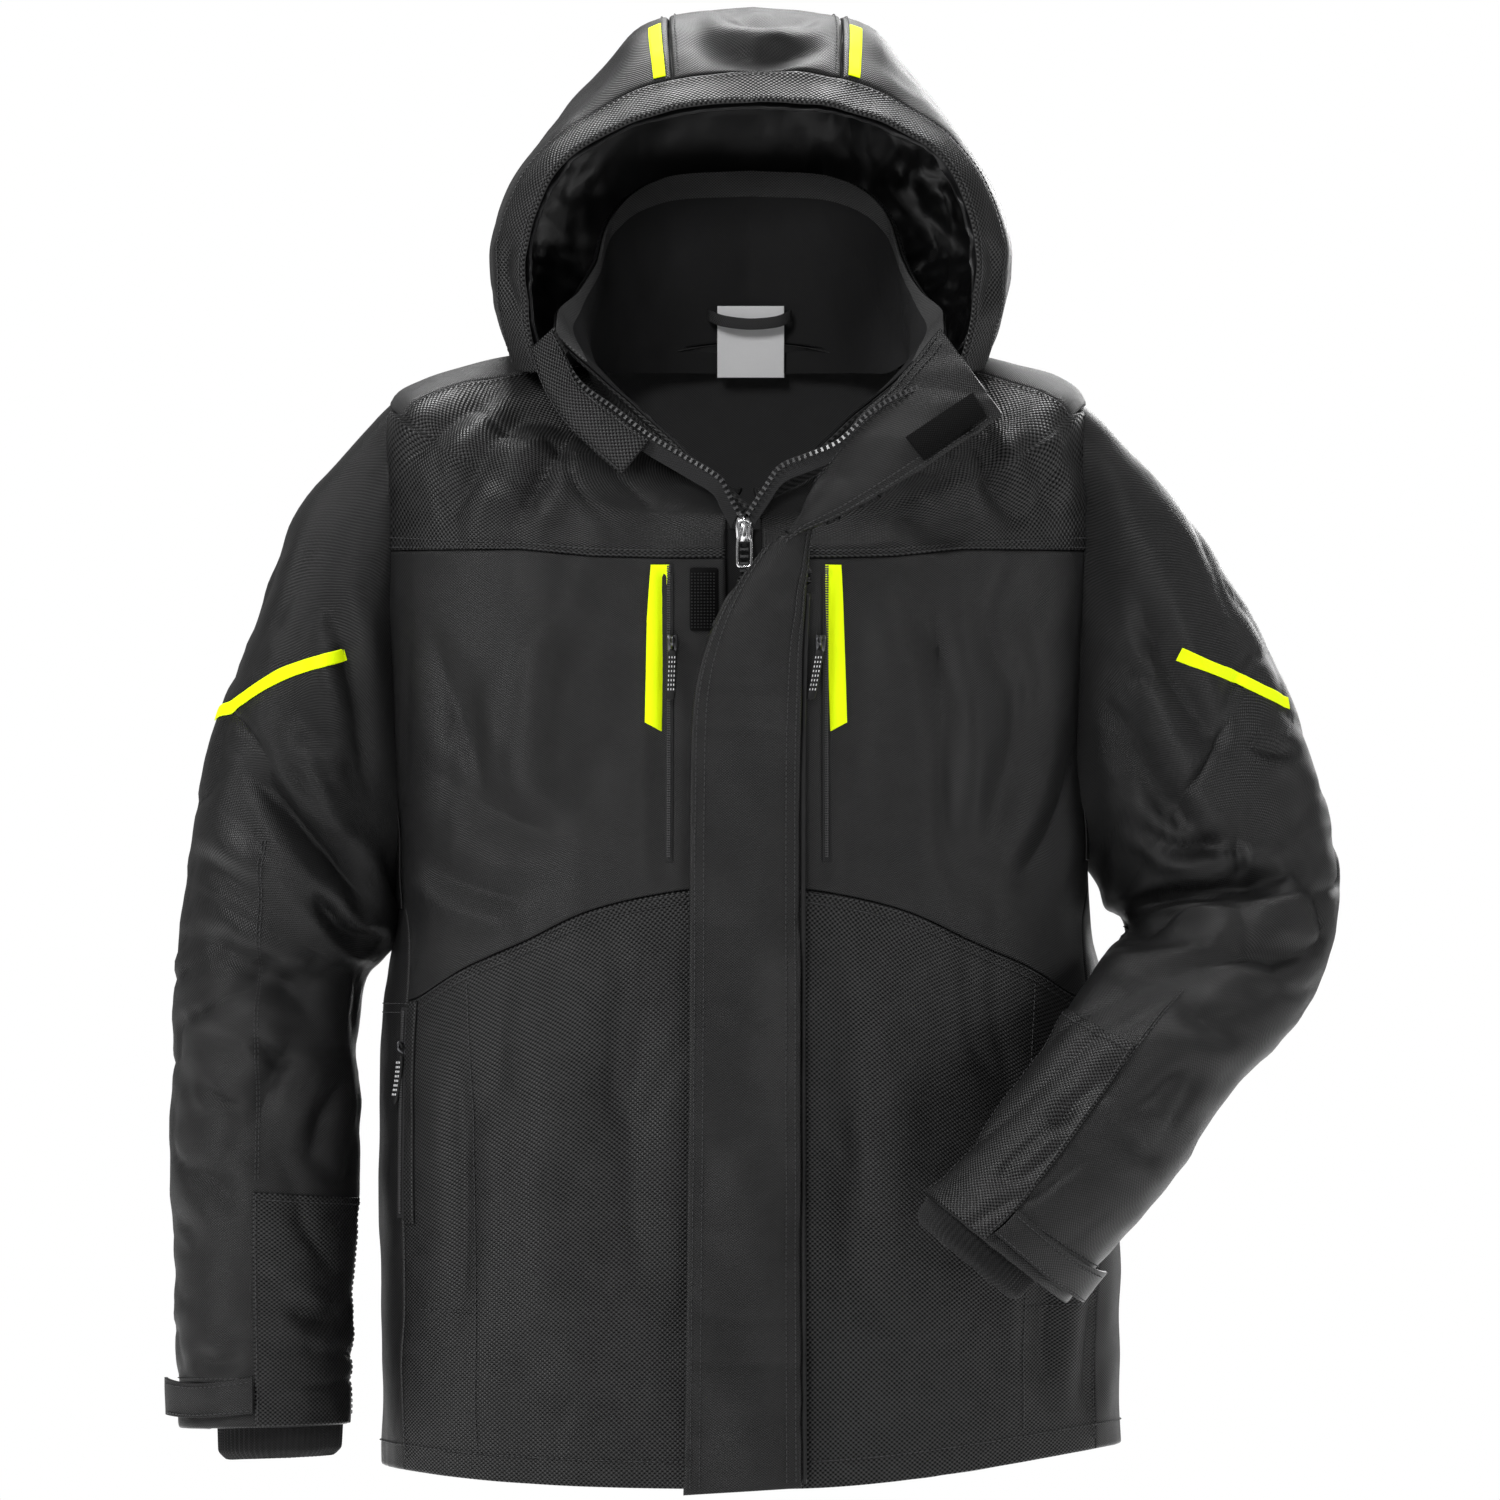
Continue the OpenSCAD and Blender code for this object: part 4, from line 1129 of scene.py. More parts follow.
def front_centre(p, u, v):
    return p + np.array([0.0, 60.0, 0.0])


# The coarse wing that stands off beside the collar's right front edge.
WING_INNER = [(-138, -104, 812), (-128, -110, 792), (-119, -117, 773), (-95, -125, 753), (-70, -132, 734)]
WING_OUTER = [(-153, -96, 798), (-146, -106, 775), (-133, -115, 750), (-112, -124, 729), (-90, -131, 709)]
wing = Surface(Lap(WING_INNER, WING_OUTER, 4), (0.01, 0.03), front_centre, [soft_collar])
piece = cloth("collar_wing", wing, spread(0, 1, 130, 3), spread(0, 1, 26, 2.4), COARSE, thick=2.6, lift=2.5)
on_torso(piece)


# ---------------------------------------------------------------- storm flap

# Share up the flap: free edge, then the edge by its hinge seam.
FLAP = [
    [0, -46, -148, -1, 36, -146, 4], [0.15, -44.5, -147, 125, 35.5, -145, 125],
    [0.4, -42.5, -146, 330, 35, -145, 330], [0.6, -41.5, -146, 500, 35, -145, 500],
    [0.68, -37, -149, 568, 36, -145, 572], [0.75, -14, -155, 626, 39, -146, 636],
    [0.81, 20, -158, 661, 45, -147, 692], [0.87, 68, -161, 683, 66, -146, 738],
    [0.935, 116, -162, 711, 99, -138, 773], [1, 176, -153, 751, 133, -119, 811],
]


def flap_place(u, v):
    a = np.stack([lookup(FLAP, k, v) for k in (1, 2, 3)], -1)
    b = np.stack([lookup(FLAP, k, v) for k in (4, 5, 6)], -1)
    p = a + (b - a) * np.asarray(u)[..., None]
    turned = ramp(v, 0.62, 0.8)
    p[..., 1] -= (1 + 6 * turned) * np.sin(np.pi * np.clip(u, 0, 1))
    return p


def soft_flap(p, n):
    across = lumps(p * [0.25, 1, 1], 17, 81)
    puffs = lumps(p * [1, 1, 0.8], 36, 82) + 0.4
    ridges = (1 - np.abs(lumps(p * [0.3, 1, 1], 26, 83))) ** 5
    return 1.8 * across + 4.5 * puffs - 2.0 * ridges


flap = Surface(flap_place, (0.01, 0.003), front_centre, [soft_flap])


def with_flap(piece):
    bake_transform(piece)


piece = cloth("storm_flap_cloth", flap, spread(0, 1, 80, 2.8), spread(0, 1, 880, 3.2), SHELL, thick=2.6,
              lift=1.3, roll=1.6)
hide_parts("storm_flap", "flap_top")
with_flap(piece)
line = np.array([flap_place(np.array(1.0), np.array(v)) for v in np.linspace(0.004, 0.74, 150)])
vertices, faces = tube(line + [2.2, 1.2, 0], 1.7, 10)
piece = mesh_object("flap_piping_cord", placed(vertices), faces, SHELL)
on_torso(piece, "flap_piping")
hooks = Surface(Lap([(109, -157, 733), (156, -147, 764)], [(120, -162, 719), (164, -153, 750)], 2),
                (0.01, 0.03), front_centre)
piece = cloth("flap_hook_top", hooks, spread(0, 1, 56, 2), spread(0, 1, 19, 2), HOOKS, thick=1.4, lift=6.5,
              roll=0.7)
on_torso(piece)

hook_parts, loop_parts = [], []


def plate(outline, thick, chamfer):
    """A flat plate from an outline in x and z, its front at -y, with chamfered rims."""
    outline = np.asarray(outline, float)
    middle = outline.mean(0)
    n = len(outline)
    reach = np.linalg.norm(outline - middle, axis=1, keepdims=True)
    inset = outline - (outline - middle) * chamfer / reach
    rings = [(inset, -thick / 2), (outline, -thick / 2 + chamfer), (outline, thick / 2 - chamfer),
             (inset, thick / 2)]
    vertices = np.vstack([np.column_stack([r[:, 0], np.full(n, y), r[:, 1]]) for r, y in rings])
    faces = [tuple(range(n))[::-1], tuple(range(3 * n, 4 * n))]
    for k in range(3):
        faces += [(k * n + i, k * n + (i + 1) % n, (k + 1) * n + (i + 1) % n, (k + 1) * n + i)
                  for i in range(n)]
    return vertices, faces


CORNER_STEPS = 5


def rounded(width, height, radius):
    """A rounded rectangle's outline."""
    points = []
    for cx, cz, start in ((1, 1, 0), (-1, 1, 90), (-1, -1, 180), (1, -1, 270)):
        for k in range(CORNER_STEPS + 1):
            a = math.radians(start + 90 * k / CORNER_STEPS)
            points.append((cx * (width / 2 - radius) + radius * math.cos(a),
                           cz * (height / 2 - radius) + radius * math.sin(a)))
    return np.array(points)


def moved(part, offset, turn=0.0):
    """A part turned about z by degrees, then moved."""
    v, f = part
    a = math.radians(turn)
    r = np.array([[math.cos(a), -math.sin(a), 0], [math.sin(a), math.cos(a), 0], [0, 0, 1]])
    return np.asarray(v) @ r.T + np.asarray(offset, float), f


for z in (40, 190, 340):
    hook_parts.append(moved(plate(rounded(18, 70, 2), 1.0, 0.3), (-29, -143.4, z + 35)))
    loop_parts.append(moved(plate(rounded(18, 70, 2), 1.2, 0.3), (-29, -135.7, z + 35)))
loop_parts.append(moved(plate(rounded(20, 44, 2), 1.2, 0.3), (-32, -136.2, 623)))
nubs = [(np.array([[x, -136.9, 603], [x, -136.9, 643]]), np.array([[0, -1.0, 0], [0, -1.0, 0]]))
        for x in np.arange(-40.5, -23, 2.2)]
vertices, faces = joined(hook_parts)
piece = mesh_object("flap_hooks", placed(vertices), faces, HOOKS)
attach(piece, "storm_flap")
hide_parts("flap_hook_patches")
vertices, faces = joined(loop_parts)
piece = mesh_object("front_loops", placed(vertices), faces, HOOKS)
on_torso(piece, "loop_patches")
piece = stitches("loop_pile", nubs, PAINTED_LIGHTER_SHELL, 1.0, 1.2, 0.55)
on_torso(piece)


# ---------------------------------------------------------------- zips


def chain(points, side_point, facing, count, size=(3.4, 2.4, 2.2)):
    """A row of zip teeth along points: each tooth a small knob with a waist, reaching to one side."""
    p = resample(np.asarray(points, float), count)
    d = np.gradient(p, axis=0)
    d /= np.linalg.norm(d, axis=1, keepdims=True)
    parts = []
    for k in range(count):
        n = np.asarray(facing, float)
        n = n - d[k] * (n @ d[k])
        n /= np.linalg.norm(n)
        a = np.cross(d[k], n) * side_point
        outline = [(-1.9, -0.42), (-1.9, 0.42), (0.2, 0.34), (0.7, 0.5), (1.7, 0.42), (1.7, -0.42),
                   (0.7, -0.5), (0.2, -0.34)]
        ring = np.array([p[k] + a * x * size[0] / 3.6 + d[k] * z * size[1] for x, z in outline])
        m = len(outline)
        middle = ring.mean(0)
        vertices = np.vstack([middle + (ring - middle) * 0.8 + n * size[2] / 2, ring + n * size[2] * 0.3,
                              ring - n * size[2] * 0.3, middle + (ring - middle) * 0.8 - n * size[2] / 2])
        faces = [tuple(range(m)), tuple(range(3 * m, 4 * m))[::-1]]
        for r in range(3):
            faces += [(r * m + (i + 1) % m, r * m + i, (r + 1) * m + i, (r + 1) * m + (i + 1) % m)
                      for i in range(m)]
        parts.append((vertices, faces))
    return joined(parts)


LEFT_CHAIN = [(-1, -139, 683), (10, -144, 700), (21, -148.5, 715), (40, -152.5, 723), (59, -154, 731),
              (70, -153.5, 740), (85, -150.5, 754), (104, -146, 765), (120, -140, 772), (139, -130, 785)]
RIGHT_CHAIN = [(-8, -139, 683), (-16, -139, 698), (-22, -139, 708), (-45, -135, 722), (-70, -131, 737),
               (-95, -124, 756), (-119, -115, 774), (-134, -106, 799)]
rows = {}
for word, side, line in (("right", RIGHT, RIGHT_CHAIN), ("left", LEFT, LEFT_CHAIN)):
    closed = np.array([(-4 + side * 1.5, -131.5, 50), (-4 + side * 1.5, -131.5, 668)])
    length = np.linalg.norm(np.diff(spline(line, 60), axis=0), axis=1).sum()
    vertices, faces = joined([chain(closed, side, (0, -1, 0), 124),
                              chain(spline(line, 60), side, (0.0, -1, 0.25), int(length / 4.1))])
    piece = mesh_object(f"zip_teeth_row_{word}", placed(vertices), faces, TEETH, flat=True)
    on_torso(piece, "zip_teeth_" + word)
    inner = np.array([(x, y + 2.2, z) for x, y, z in spline(line, 40)])
    away = np.array([0.25 * side, 0, -1.0]) if side == LEFT else np.array([-0.45, 0, -1.0])
    band = Surface(Lap(inner - away * 2, inner + away * 11), (0.01, 0.03), front_centre)
    piece = cloth(f"zip_band_{word}", band, spread(0, 1, length, 3), spread(0, 1, 13, 2.2), TAPE, thick=1.0,
                  roll=0.4)
    on_torso(piece)
    tape = Surface(lambda u, v, side=side: np.stack([-4 + side * (1.5 + 16 * u), -128.2 + 0 * u, v], -1),
                   (0.01, 1.0), front_centre)
    piece = cloth(f"zip_tape_cloth_{word}", tape, spread(0, 1, 16, 3), spread(25, 672, 647, 8), TAPE,
                  thick=0.9, roll=0.3)
    on_torso(piece, "zip_tape_" + word)

vertices, faces = moved(plate(rounded(12, 18, 1.5), 6, 0.8), (-4, -131, 38))
piece = mesh_object("zip_foot", placed(vertices), faces, TEETH)
on_torso(piece, "zip_box")


def slider(width, height, gap, neck):
    """Two shield plates with a bridge and a loop on the front for the pull, its pin at the origin."""
    shield = np.array([(-0.5, 0.32), (-0.42, 0.5), (-0.12, 0.5), (0, 0.4), (0.12, 0.5), (0.42, 0.5),
                       (0.5, 0.32), (0.4, -0.38), (0.28, -0.5), (-0.28, -0.5), (-0.4, -0.38)])
    shield = shield * [width, height]
    parts = [moved(plate(shield, 1.8, 0.5), (0, neck, -0.15 * height))]
    if gap:
        parts.append(moved(plate(shield, 1.8, 0.5), (0, neck + gap, -0.15 * height)))
        parts.append(tube([(0, neck, 0.15 * height), (0, neck + gap, 0.15 * height)], 0.7, 10))
    arch = [(0, neck - 0.4, 0.22 * height), (0, neck - 2.6, 0.18 * height), (0, -1.4, 2.4), (0, -1.6, 0),
            (0, -1.2, -2.2), (0, neck - 2.0, -0.34 * height), (0, neck - 0.4, -0.42 * height)]
    parts.append(tube(spline(arch, 24), np.interp(np.linspace(0, 1, 24), [0, 0.5, 1], [1.4, 0.95, 1.4]), 10))
    return joined(parts)


def flat_ring(width, top, foot):
    """A long rounded link hung from the origin, with a solid foot."""
    outline = np.array([(x * width / 2, z) for x, z in ((0, top), (0.62, top - 0.6), (0.8, top - 3),
                        (0.72, -9), (1, -13), (1, foot + 2.5), (0.7, foot), (0, foot - 0.6))])
    outline = np.vstack([outline, outline[-2:0:-1] * [-1, 1]])
    path = spline(np.vstack([outline, outline[:1]]), 64)[:-1]
    return tube(np.column_stack([path[:, 0], 0 * path[:, 0], path[:, 1]]), 1.15, 10, closed=True)


def with_body(name, part, material, body_name, node_name, offset, turn=0.0):
    vertices, faces = moved(part, offset, turn)
    made = mesh_object(name, placed(vertices), faces, material)
    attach(made, body_name)
    if node_name:
        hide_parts(node_name)
    return made


PIN = (-4, -138.1, 676)
with_body("main_slider_metal", slider(14, 20, 8.5, 4.0), METAL, "main_slider", "main_slider", PIN)
with_body("main_pull_metal", flat_ring(9.5, 2.2, -30), METAL, "main_pull", "main_pull", PIN)


PULL_LENGTH = 41


def pull_parts(lean):
    """A moulded pull on a short cord loop, and the three columns of dashes on its face."""
    z = np.linspace(0, 1, 28)
    bend = np.stack([lean * z**1.4, 1.2 * np.sin(np.pi * z) - 1.0 * z, 2.0 - (PULL_LENGTH + 2) * z], -1)
    head = spline([(0, 0.9, -1.8), (-1.5, 0.2, 0.6), (0, -1.0, 2.0), (1.5, 0.2, 0.6), (0, 0.9, -1.8)], 20)
    body_line = bend[5:]
    w = np.interp(np.linspace(0, 1, len(body_line)), [0, 0.04, 0.1, 0.93, 1], [1.6, 2.9, 3.3, 3.3, 2.2])
    t = np.linspace(0, 2 * math.pi, 16, endpoint=False)
    cx, cy = np.sign(np.cos(t)) * np.abs(np.cos(t)) ** 0.6, np.sign(np.sin(t)) * np.abs(np.sin(t)) ** 0.6
    rings = body_line[:, None] + np.stack([cx[None] * w[:, None], cy[None] * 1.5 * w[:, None] / 3.3,
                                           0 * cx[None] * w[:, None]], -1)
    n = len(body_line)
    faces = [(i * 16 + j, i * 16 + (j + 1) % 16, (i + 1) * 16 + (j + 1) % 16, (i + 1) * 16 + j)
             for i in range(n - 1) for j in range(16)]
    faces += [tuple(range(16))[::-1], tuple((n - 1) * 16 + j for j in range(16))]
    grip = joined([(rings.reshape(-1, 3), faces), tube(head, 0.75, 8)])
    dashes = []
    for x in (-1.9, 0, 1.9):
        for k in range(3, n - 4, 2):
            a, b = body_line[k] + [x, -1.52, 0], body_line[k + 1] + [x, -1.52, 0]
            dashes.append(tube([a, a * 0.1 + b * 0.9], 0.42, 6))
    return grip, joined(dashes)


for word, side in SIDES.items():
    x = -54 if side == RIGHT else 49
    pin = (x, -141.3, 594)
    with_body(f"chest_slider_{word}_metal", slider(8, 12, 0, 3.3), DARK_METAL, f"chest_slider_{word}",
              f"chest_slider_{word}", pin)
    grip, dashes = pull_parts(-1.5 if side == RIGHT else -7.0)
    with_body(f"chest_pull_{word}_grip", grip, CORD, f"chest_pull_{word}", f"chest_pull_{word}", pin)
    with_body(f"chest_pull_{word}_dashes", dashes, PALE_THREAD, f"chest_pull_{word}", None, pin)
    pin = (side * 244.5, -73.6, 311)
    with_body(f"hand_slider_{word}_metal", slider(8, 12, 0, 3.3), DARK_METAL, f"hand_slider_{word}",
              f"hand_slider_{word}", pin, side * 58)
    grip, dashes = pull_parts(7.0 * side if side == RIGHT else 0.0)
    with_body(f"hand_pull_{word}_grip", grip, CORD, f"hand_pull_{word}", f"hand_pull_{word}", pin,
              side * 58)
    with_body(f"hand_pull_{word}_dashes", dashes, PALE_THREAD, f"hand_pull_{word}", None, pin, side * 58)


# ---------------------------------------------------------------- pockets and trims on the body


def angle_of(x, v):
    """The angle on the body's front at height v where x is reached."""
    x = np.asarray(x, float)
    wide = lookup(BODY, 1, v) * np.where(x > 0, lookup(LEFT_NARROWING, 1, v), 1)
    return np.degrees(np.arcsin(np.clip(np.abs(x) / wide, 0, 1) ** (1 / lookup(BODY, 7, v)))) * np.sign(x)


def strip_on_body(name, inner, outer, low, high, material, lift, thick, node=None):
    """A band on the body's front between two x lines (functions of height)."""

    def shape(u, v):
        lo, hi = low(u), high(u)
        z = lo + (hi - lo) * v
        x = inner(z) * (1 - u) + outer(z) * u
        return angle_of(x, z), z

    made = cloth(name, body, spread(0, 1, 13, 2.4), spread(0, 1, 120, 4), material, thick=thick,
                 lift=lift, shape=shape, roll=0.5)
    on_torso(made, node)


def line_of(points):
    xs = [p[0] for p in points]
    zs = [p[1] for p in points]
    return lambda z: np.interp(z, zs, xs)


strip_on_body("chest_stripe_right", line_of([(-61.5, 530), (-60, 600), (-56.2, 644)]),
              line_of([(-73.5, 530), (-72, 600), (-69, 644)]), lambda u: 529.5 + 5.5 * u,
              lambda u: 643.5 + 0 * u, YELLOW_TAPE_AND_GLOW, 1.6, 1.4, "chest_stripes")
strip_on_body("chest_stripe_left", line_of([(56, 530), (53, 610), (52.3, 644)]),
              line_of([(68, 530), (65, 610), (63.6, 644)]), lambda u: 529.5 + 5.5 * u,
              lambda u: 643.5 + 0 * u, YELLOW_TAPE_AND_GLOW, 1.6, 1.4)
for word, side in SIDES.items():
    at = (lambda z: -59.5 + 0 * z) if side == RIGHT else (lambda z: 50.5 + 0 * z)
    strip_on_body(f"chest_zip_{word}_tape", at, lambda z, at=at: at(z) + 6, lambda u: 440 + 0 * u,
                  lambda u: 644 + 0 * u, TAPE, 0.8, 0.8, "chest_zips")
    zs = np.linspace(444, 642, 80)
    x = at(zs) + 3
    coil, _ = body.at(angle_of(x, zs), zs, 1.6)
    vertices, faces = chain(coil, 1, (0, -1, 0), 120, size=(2.6, 1.4, 1.2))
    piece = mesh_object(f"chest_zip_{word}_coil", placed(vertices), faces, TEETH, flat=True)
    on_torso(piece)
    # Hand pocket: tape, coil and a welt along the side seam.
    tape = cloth(f"hand_zip_{word}_tape", bare_body, side * spread(64.2, 68.0, 10, 2.4),
                 spread(190, 338, 148, 4), TAPE, thick=0.9, lift=1.8, roll=0.4)
    on_torso(tape, "hand_zips")
    coil, _ = bare_body.at(side * 66.1 + 0 * zs, np.linspace(194, 335, 80), 2.6)
    vertices, faces = chain(coil, 1, (side * 0.848, -0.53, 0), 84, size=(2.6, 1.4, 1.2))
    piece = mesh_object(f"hand_zip_{word}_coil", placed(vertices), faces, TEETH, flat=True)
    on_torso(piece)
    welt = cloth(f"hand_welt_{word}", body, side * spread(60.6, 64.6, 10, 2.4), spread(186, 342, 156, 4),
                 COARSE, thick=2.2, lift=2.2, roll=1.0)
    on_torso(welt)

# Lining, facings and pocket bags, hidden between the layers.
inside = Surface(body_place, (0.4, 2.0), body_centre, [lambda p, n: 1.2 * lumps(p, 40, 91)])
piece = cloth("body_lining_cloth", inside, spread(3, 357, 1300, 8), spread(HEM + 38, NECK - 2, 900, 8),
              LINING, thick=1.2, lift=-12.5)
on_torso(piece, "body_lining")
piece = cloth("hem_facing_cloth", inside, spread(2, 358, 1300, 8), spread(HEM + 1, HEM + 40, 39, 5), FACING,
              thick=1.2, lift=-7)
on_torso(piece, "hem_facing")
# The neck facing's colour is painted lighter to stand in for light inside the shaded neck.
piece = cloth("neck_facing_cloth", inside, spread(112, 248, 420, 6), spread(662, NECK - 1, 240, 6),
              NECK_FACING_PAINTED_LIGHTER, thick=1.2, lift=-15)
on_torso(piece)
for name, start, end, low, high in (("chest_pocket_bag", 14, 38, 470, 635),
                                    ("hand_pocket_bag", 8, 40, 140, 330)):
    for word, side in SIDES.items():
        piece = cloth(f"{name}_{word}", bare_body, side * spread(start, end, 110, 8),
                      spread(low, high, high - low, 8), LINING, thick=0.8, lift=-9.6)
        on_torso(piece, name + "s")

# Label and loops inside the back of the neck.
label = Surface(Lap([(-23, 64, 780), (24, 64, 780)], [(-23, 67, 830.5), (24, 67, 830.5)]),
                (0.01, 0.03), front_centre, [lambda p, n: 0.5 * lumps(p, 20, 95)])
piece = cloth("neck_label_cloth", label, spread(0, 1, 47, 3), spread(0, 1, 50, 3), LABEL_SATIN_AND_GLOW, thick=0.8, roll=0.3)
on_torso(piece, "neck_label")
strap_line = spline([(-29, 66.5, 824), (-27.5, 58, 823), (-18, 51.5, 819.5), (0, 50.2, 817.5),
                     (18, 51.5, 819), (27, 58, 822.5), (28.5, 66.5, 824)], 60)
d = np.gradient(strap_line, axis=0)
d /= np.linalg.norm(d, axis=1, keepdims=True)
up = np.tile([0, 0, 1.0], (60, 1))
out = np.cross(up, d)
out /= np.linalg.norm(out, axis=1, keepdims=True)
up = np.cross(d, out)
piece = ribbon("hang_loop_strap", strap_line, up, out, 8.0, 1.6, BINDING)
on_torso(piece, "hang_loop")


# ---------------------------------------------------------------- trims on the sleeves


def find(surface, us, vs, x, z):
    """Where on a surface's front a point at x, z (seen from the front) lies."""
    u, v = np.meshgrid(us, vs, indexing="ij")
    p, n = surface.frame(u, v)
    away = np.hypot(p[..., 0] - x, p[..., 2] - z) + 1e6 * (n[..., 1] > 0.05)
    i, j = np.unravel_index(np.argmin(away), away.shape)
    a, b = us[i], vs[j]
    hu, hv = (us[1] - us[0]) / 4, (vs[1] - vs[0]) / 4
    for _ in range(8):
        q = surface.place(np.array(a), np.array(b))[[0, 2]]
        ju = (surface.place(np.array(a + hu), np.array(b))[[0, 2]] - q) / hu
        jv = (surface.place(np.array(a), np.array(b + hv))[[0, 2]] - q) / hv
        m = np.column_stack([ju, jv])
        if abs(np.linalg.det(m)) < 1e-6:
            break
        step = np.clip(np.linalg.solve(m, [x - q[0], z - q[1]]), [-4 * hu, -4 * hv], [4 * hu, 4 * hv])
        a, b = a + step[0], b + step[1]
    return a, b


def sleeve_find(side, x, z):
    """Where on the folded sleeve a point seen from the front lies."""
    aim = np.array([x, z], float)
    for _ in range(4):
        u, v = find(sleeves[side], np.arange(4, 178, 4.0), np.arange(0, 10.6, 0.1), *aim)
        p = sleeves[side].at(np.array([u]), np.array([v]), 1.4)[0][0]
        aim += 0.8 * (np.array([x, z]) - p[[0, 2]])
    return u, v


def sleeve_line(side, points):
    """A line on the sleeve's front through points seen from the front: points and normals."""
    uv = np.array([sleeve_find(side, x, z) for x, z in points])
    line = spline(np.column_stack([uv, 0 * uv[:, 0]]), 70)
    return sleeves[side].at(line[:, 0], line[:, 1], 0.6)


def band_shape(surface, line, width):
    """Maps the unit square to a band of one width along a line of (u, v) on a surface."""
    line = spline(np.column_stack([line, np.zeros(len(line))]), 60)[:, :2]
    t = np.gradient(line, axis=0)
    p, n = surface.frame(line[:, 0], line[:, 1])
    hu, hv = surface.step
    pu = (surface.place(line[:, 0] + hu, line[:, 1]) - surface.place(line[:, 0] - hu, line[:, 1])) / (2 * hu)
    pv = (surface.place(line[:, 0], line[:, 1] + hv) - surface.place(line[:, 0], line[:, 1] - hv)) / (2 * hv)
    way = pu * t[:, :1] + pv * t[:, 1:]
    side = np.cross(n, way)
    side *= width / 2 / np.linalg.norm(side, axis=1, keepdims=True)
    uu, uv, vv = [np.sum(a * b, -1) for a, b in ((pu, pu), (pu, pv), (pv, pv))]
    su, sv = np.sum(side * pu, -1), np.sum(side * pv, -1)
    det = uu * vv - uv * uv
    shift = np.column_stack([(vv * su - uv * sv) / det, (uu * sv - uv * su) / det])

    def shape(u, v):
        k = np.clip(u, 0, 1) * 59
        at = [np.interp(k, np.arange(60), c) for c in (line[:, 0], line[:, 1], shift[:, 0], shift[:, 1])]
        return at[0] + at[2] * (2 * v - 1), at[1] + at[3] * (2 * v - 1)

    return shape


def part_of_sleeve(piece, word, level):
    """Places a trim on the sleeve: level 'upper' or 'lower' bakes it where it lies, 'cuff' attaches it to the
    forearm.
    """
    if level == "upper":
        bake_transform(piece)
    elif level == "lower":
        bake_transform(piece)
    else:
        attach(piece, "forearm_" + word)


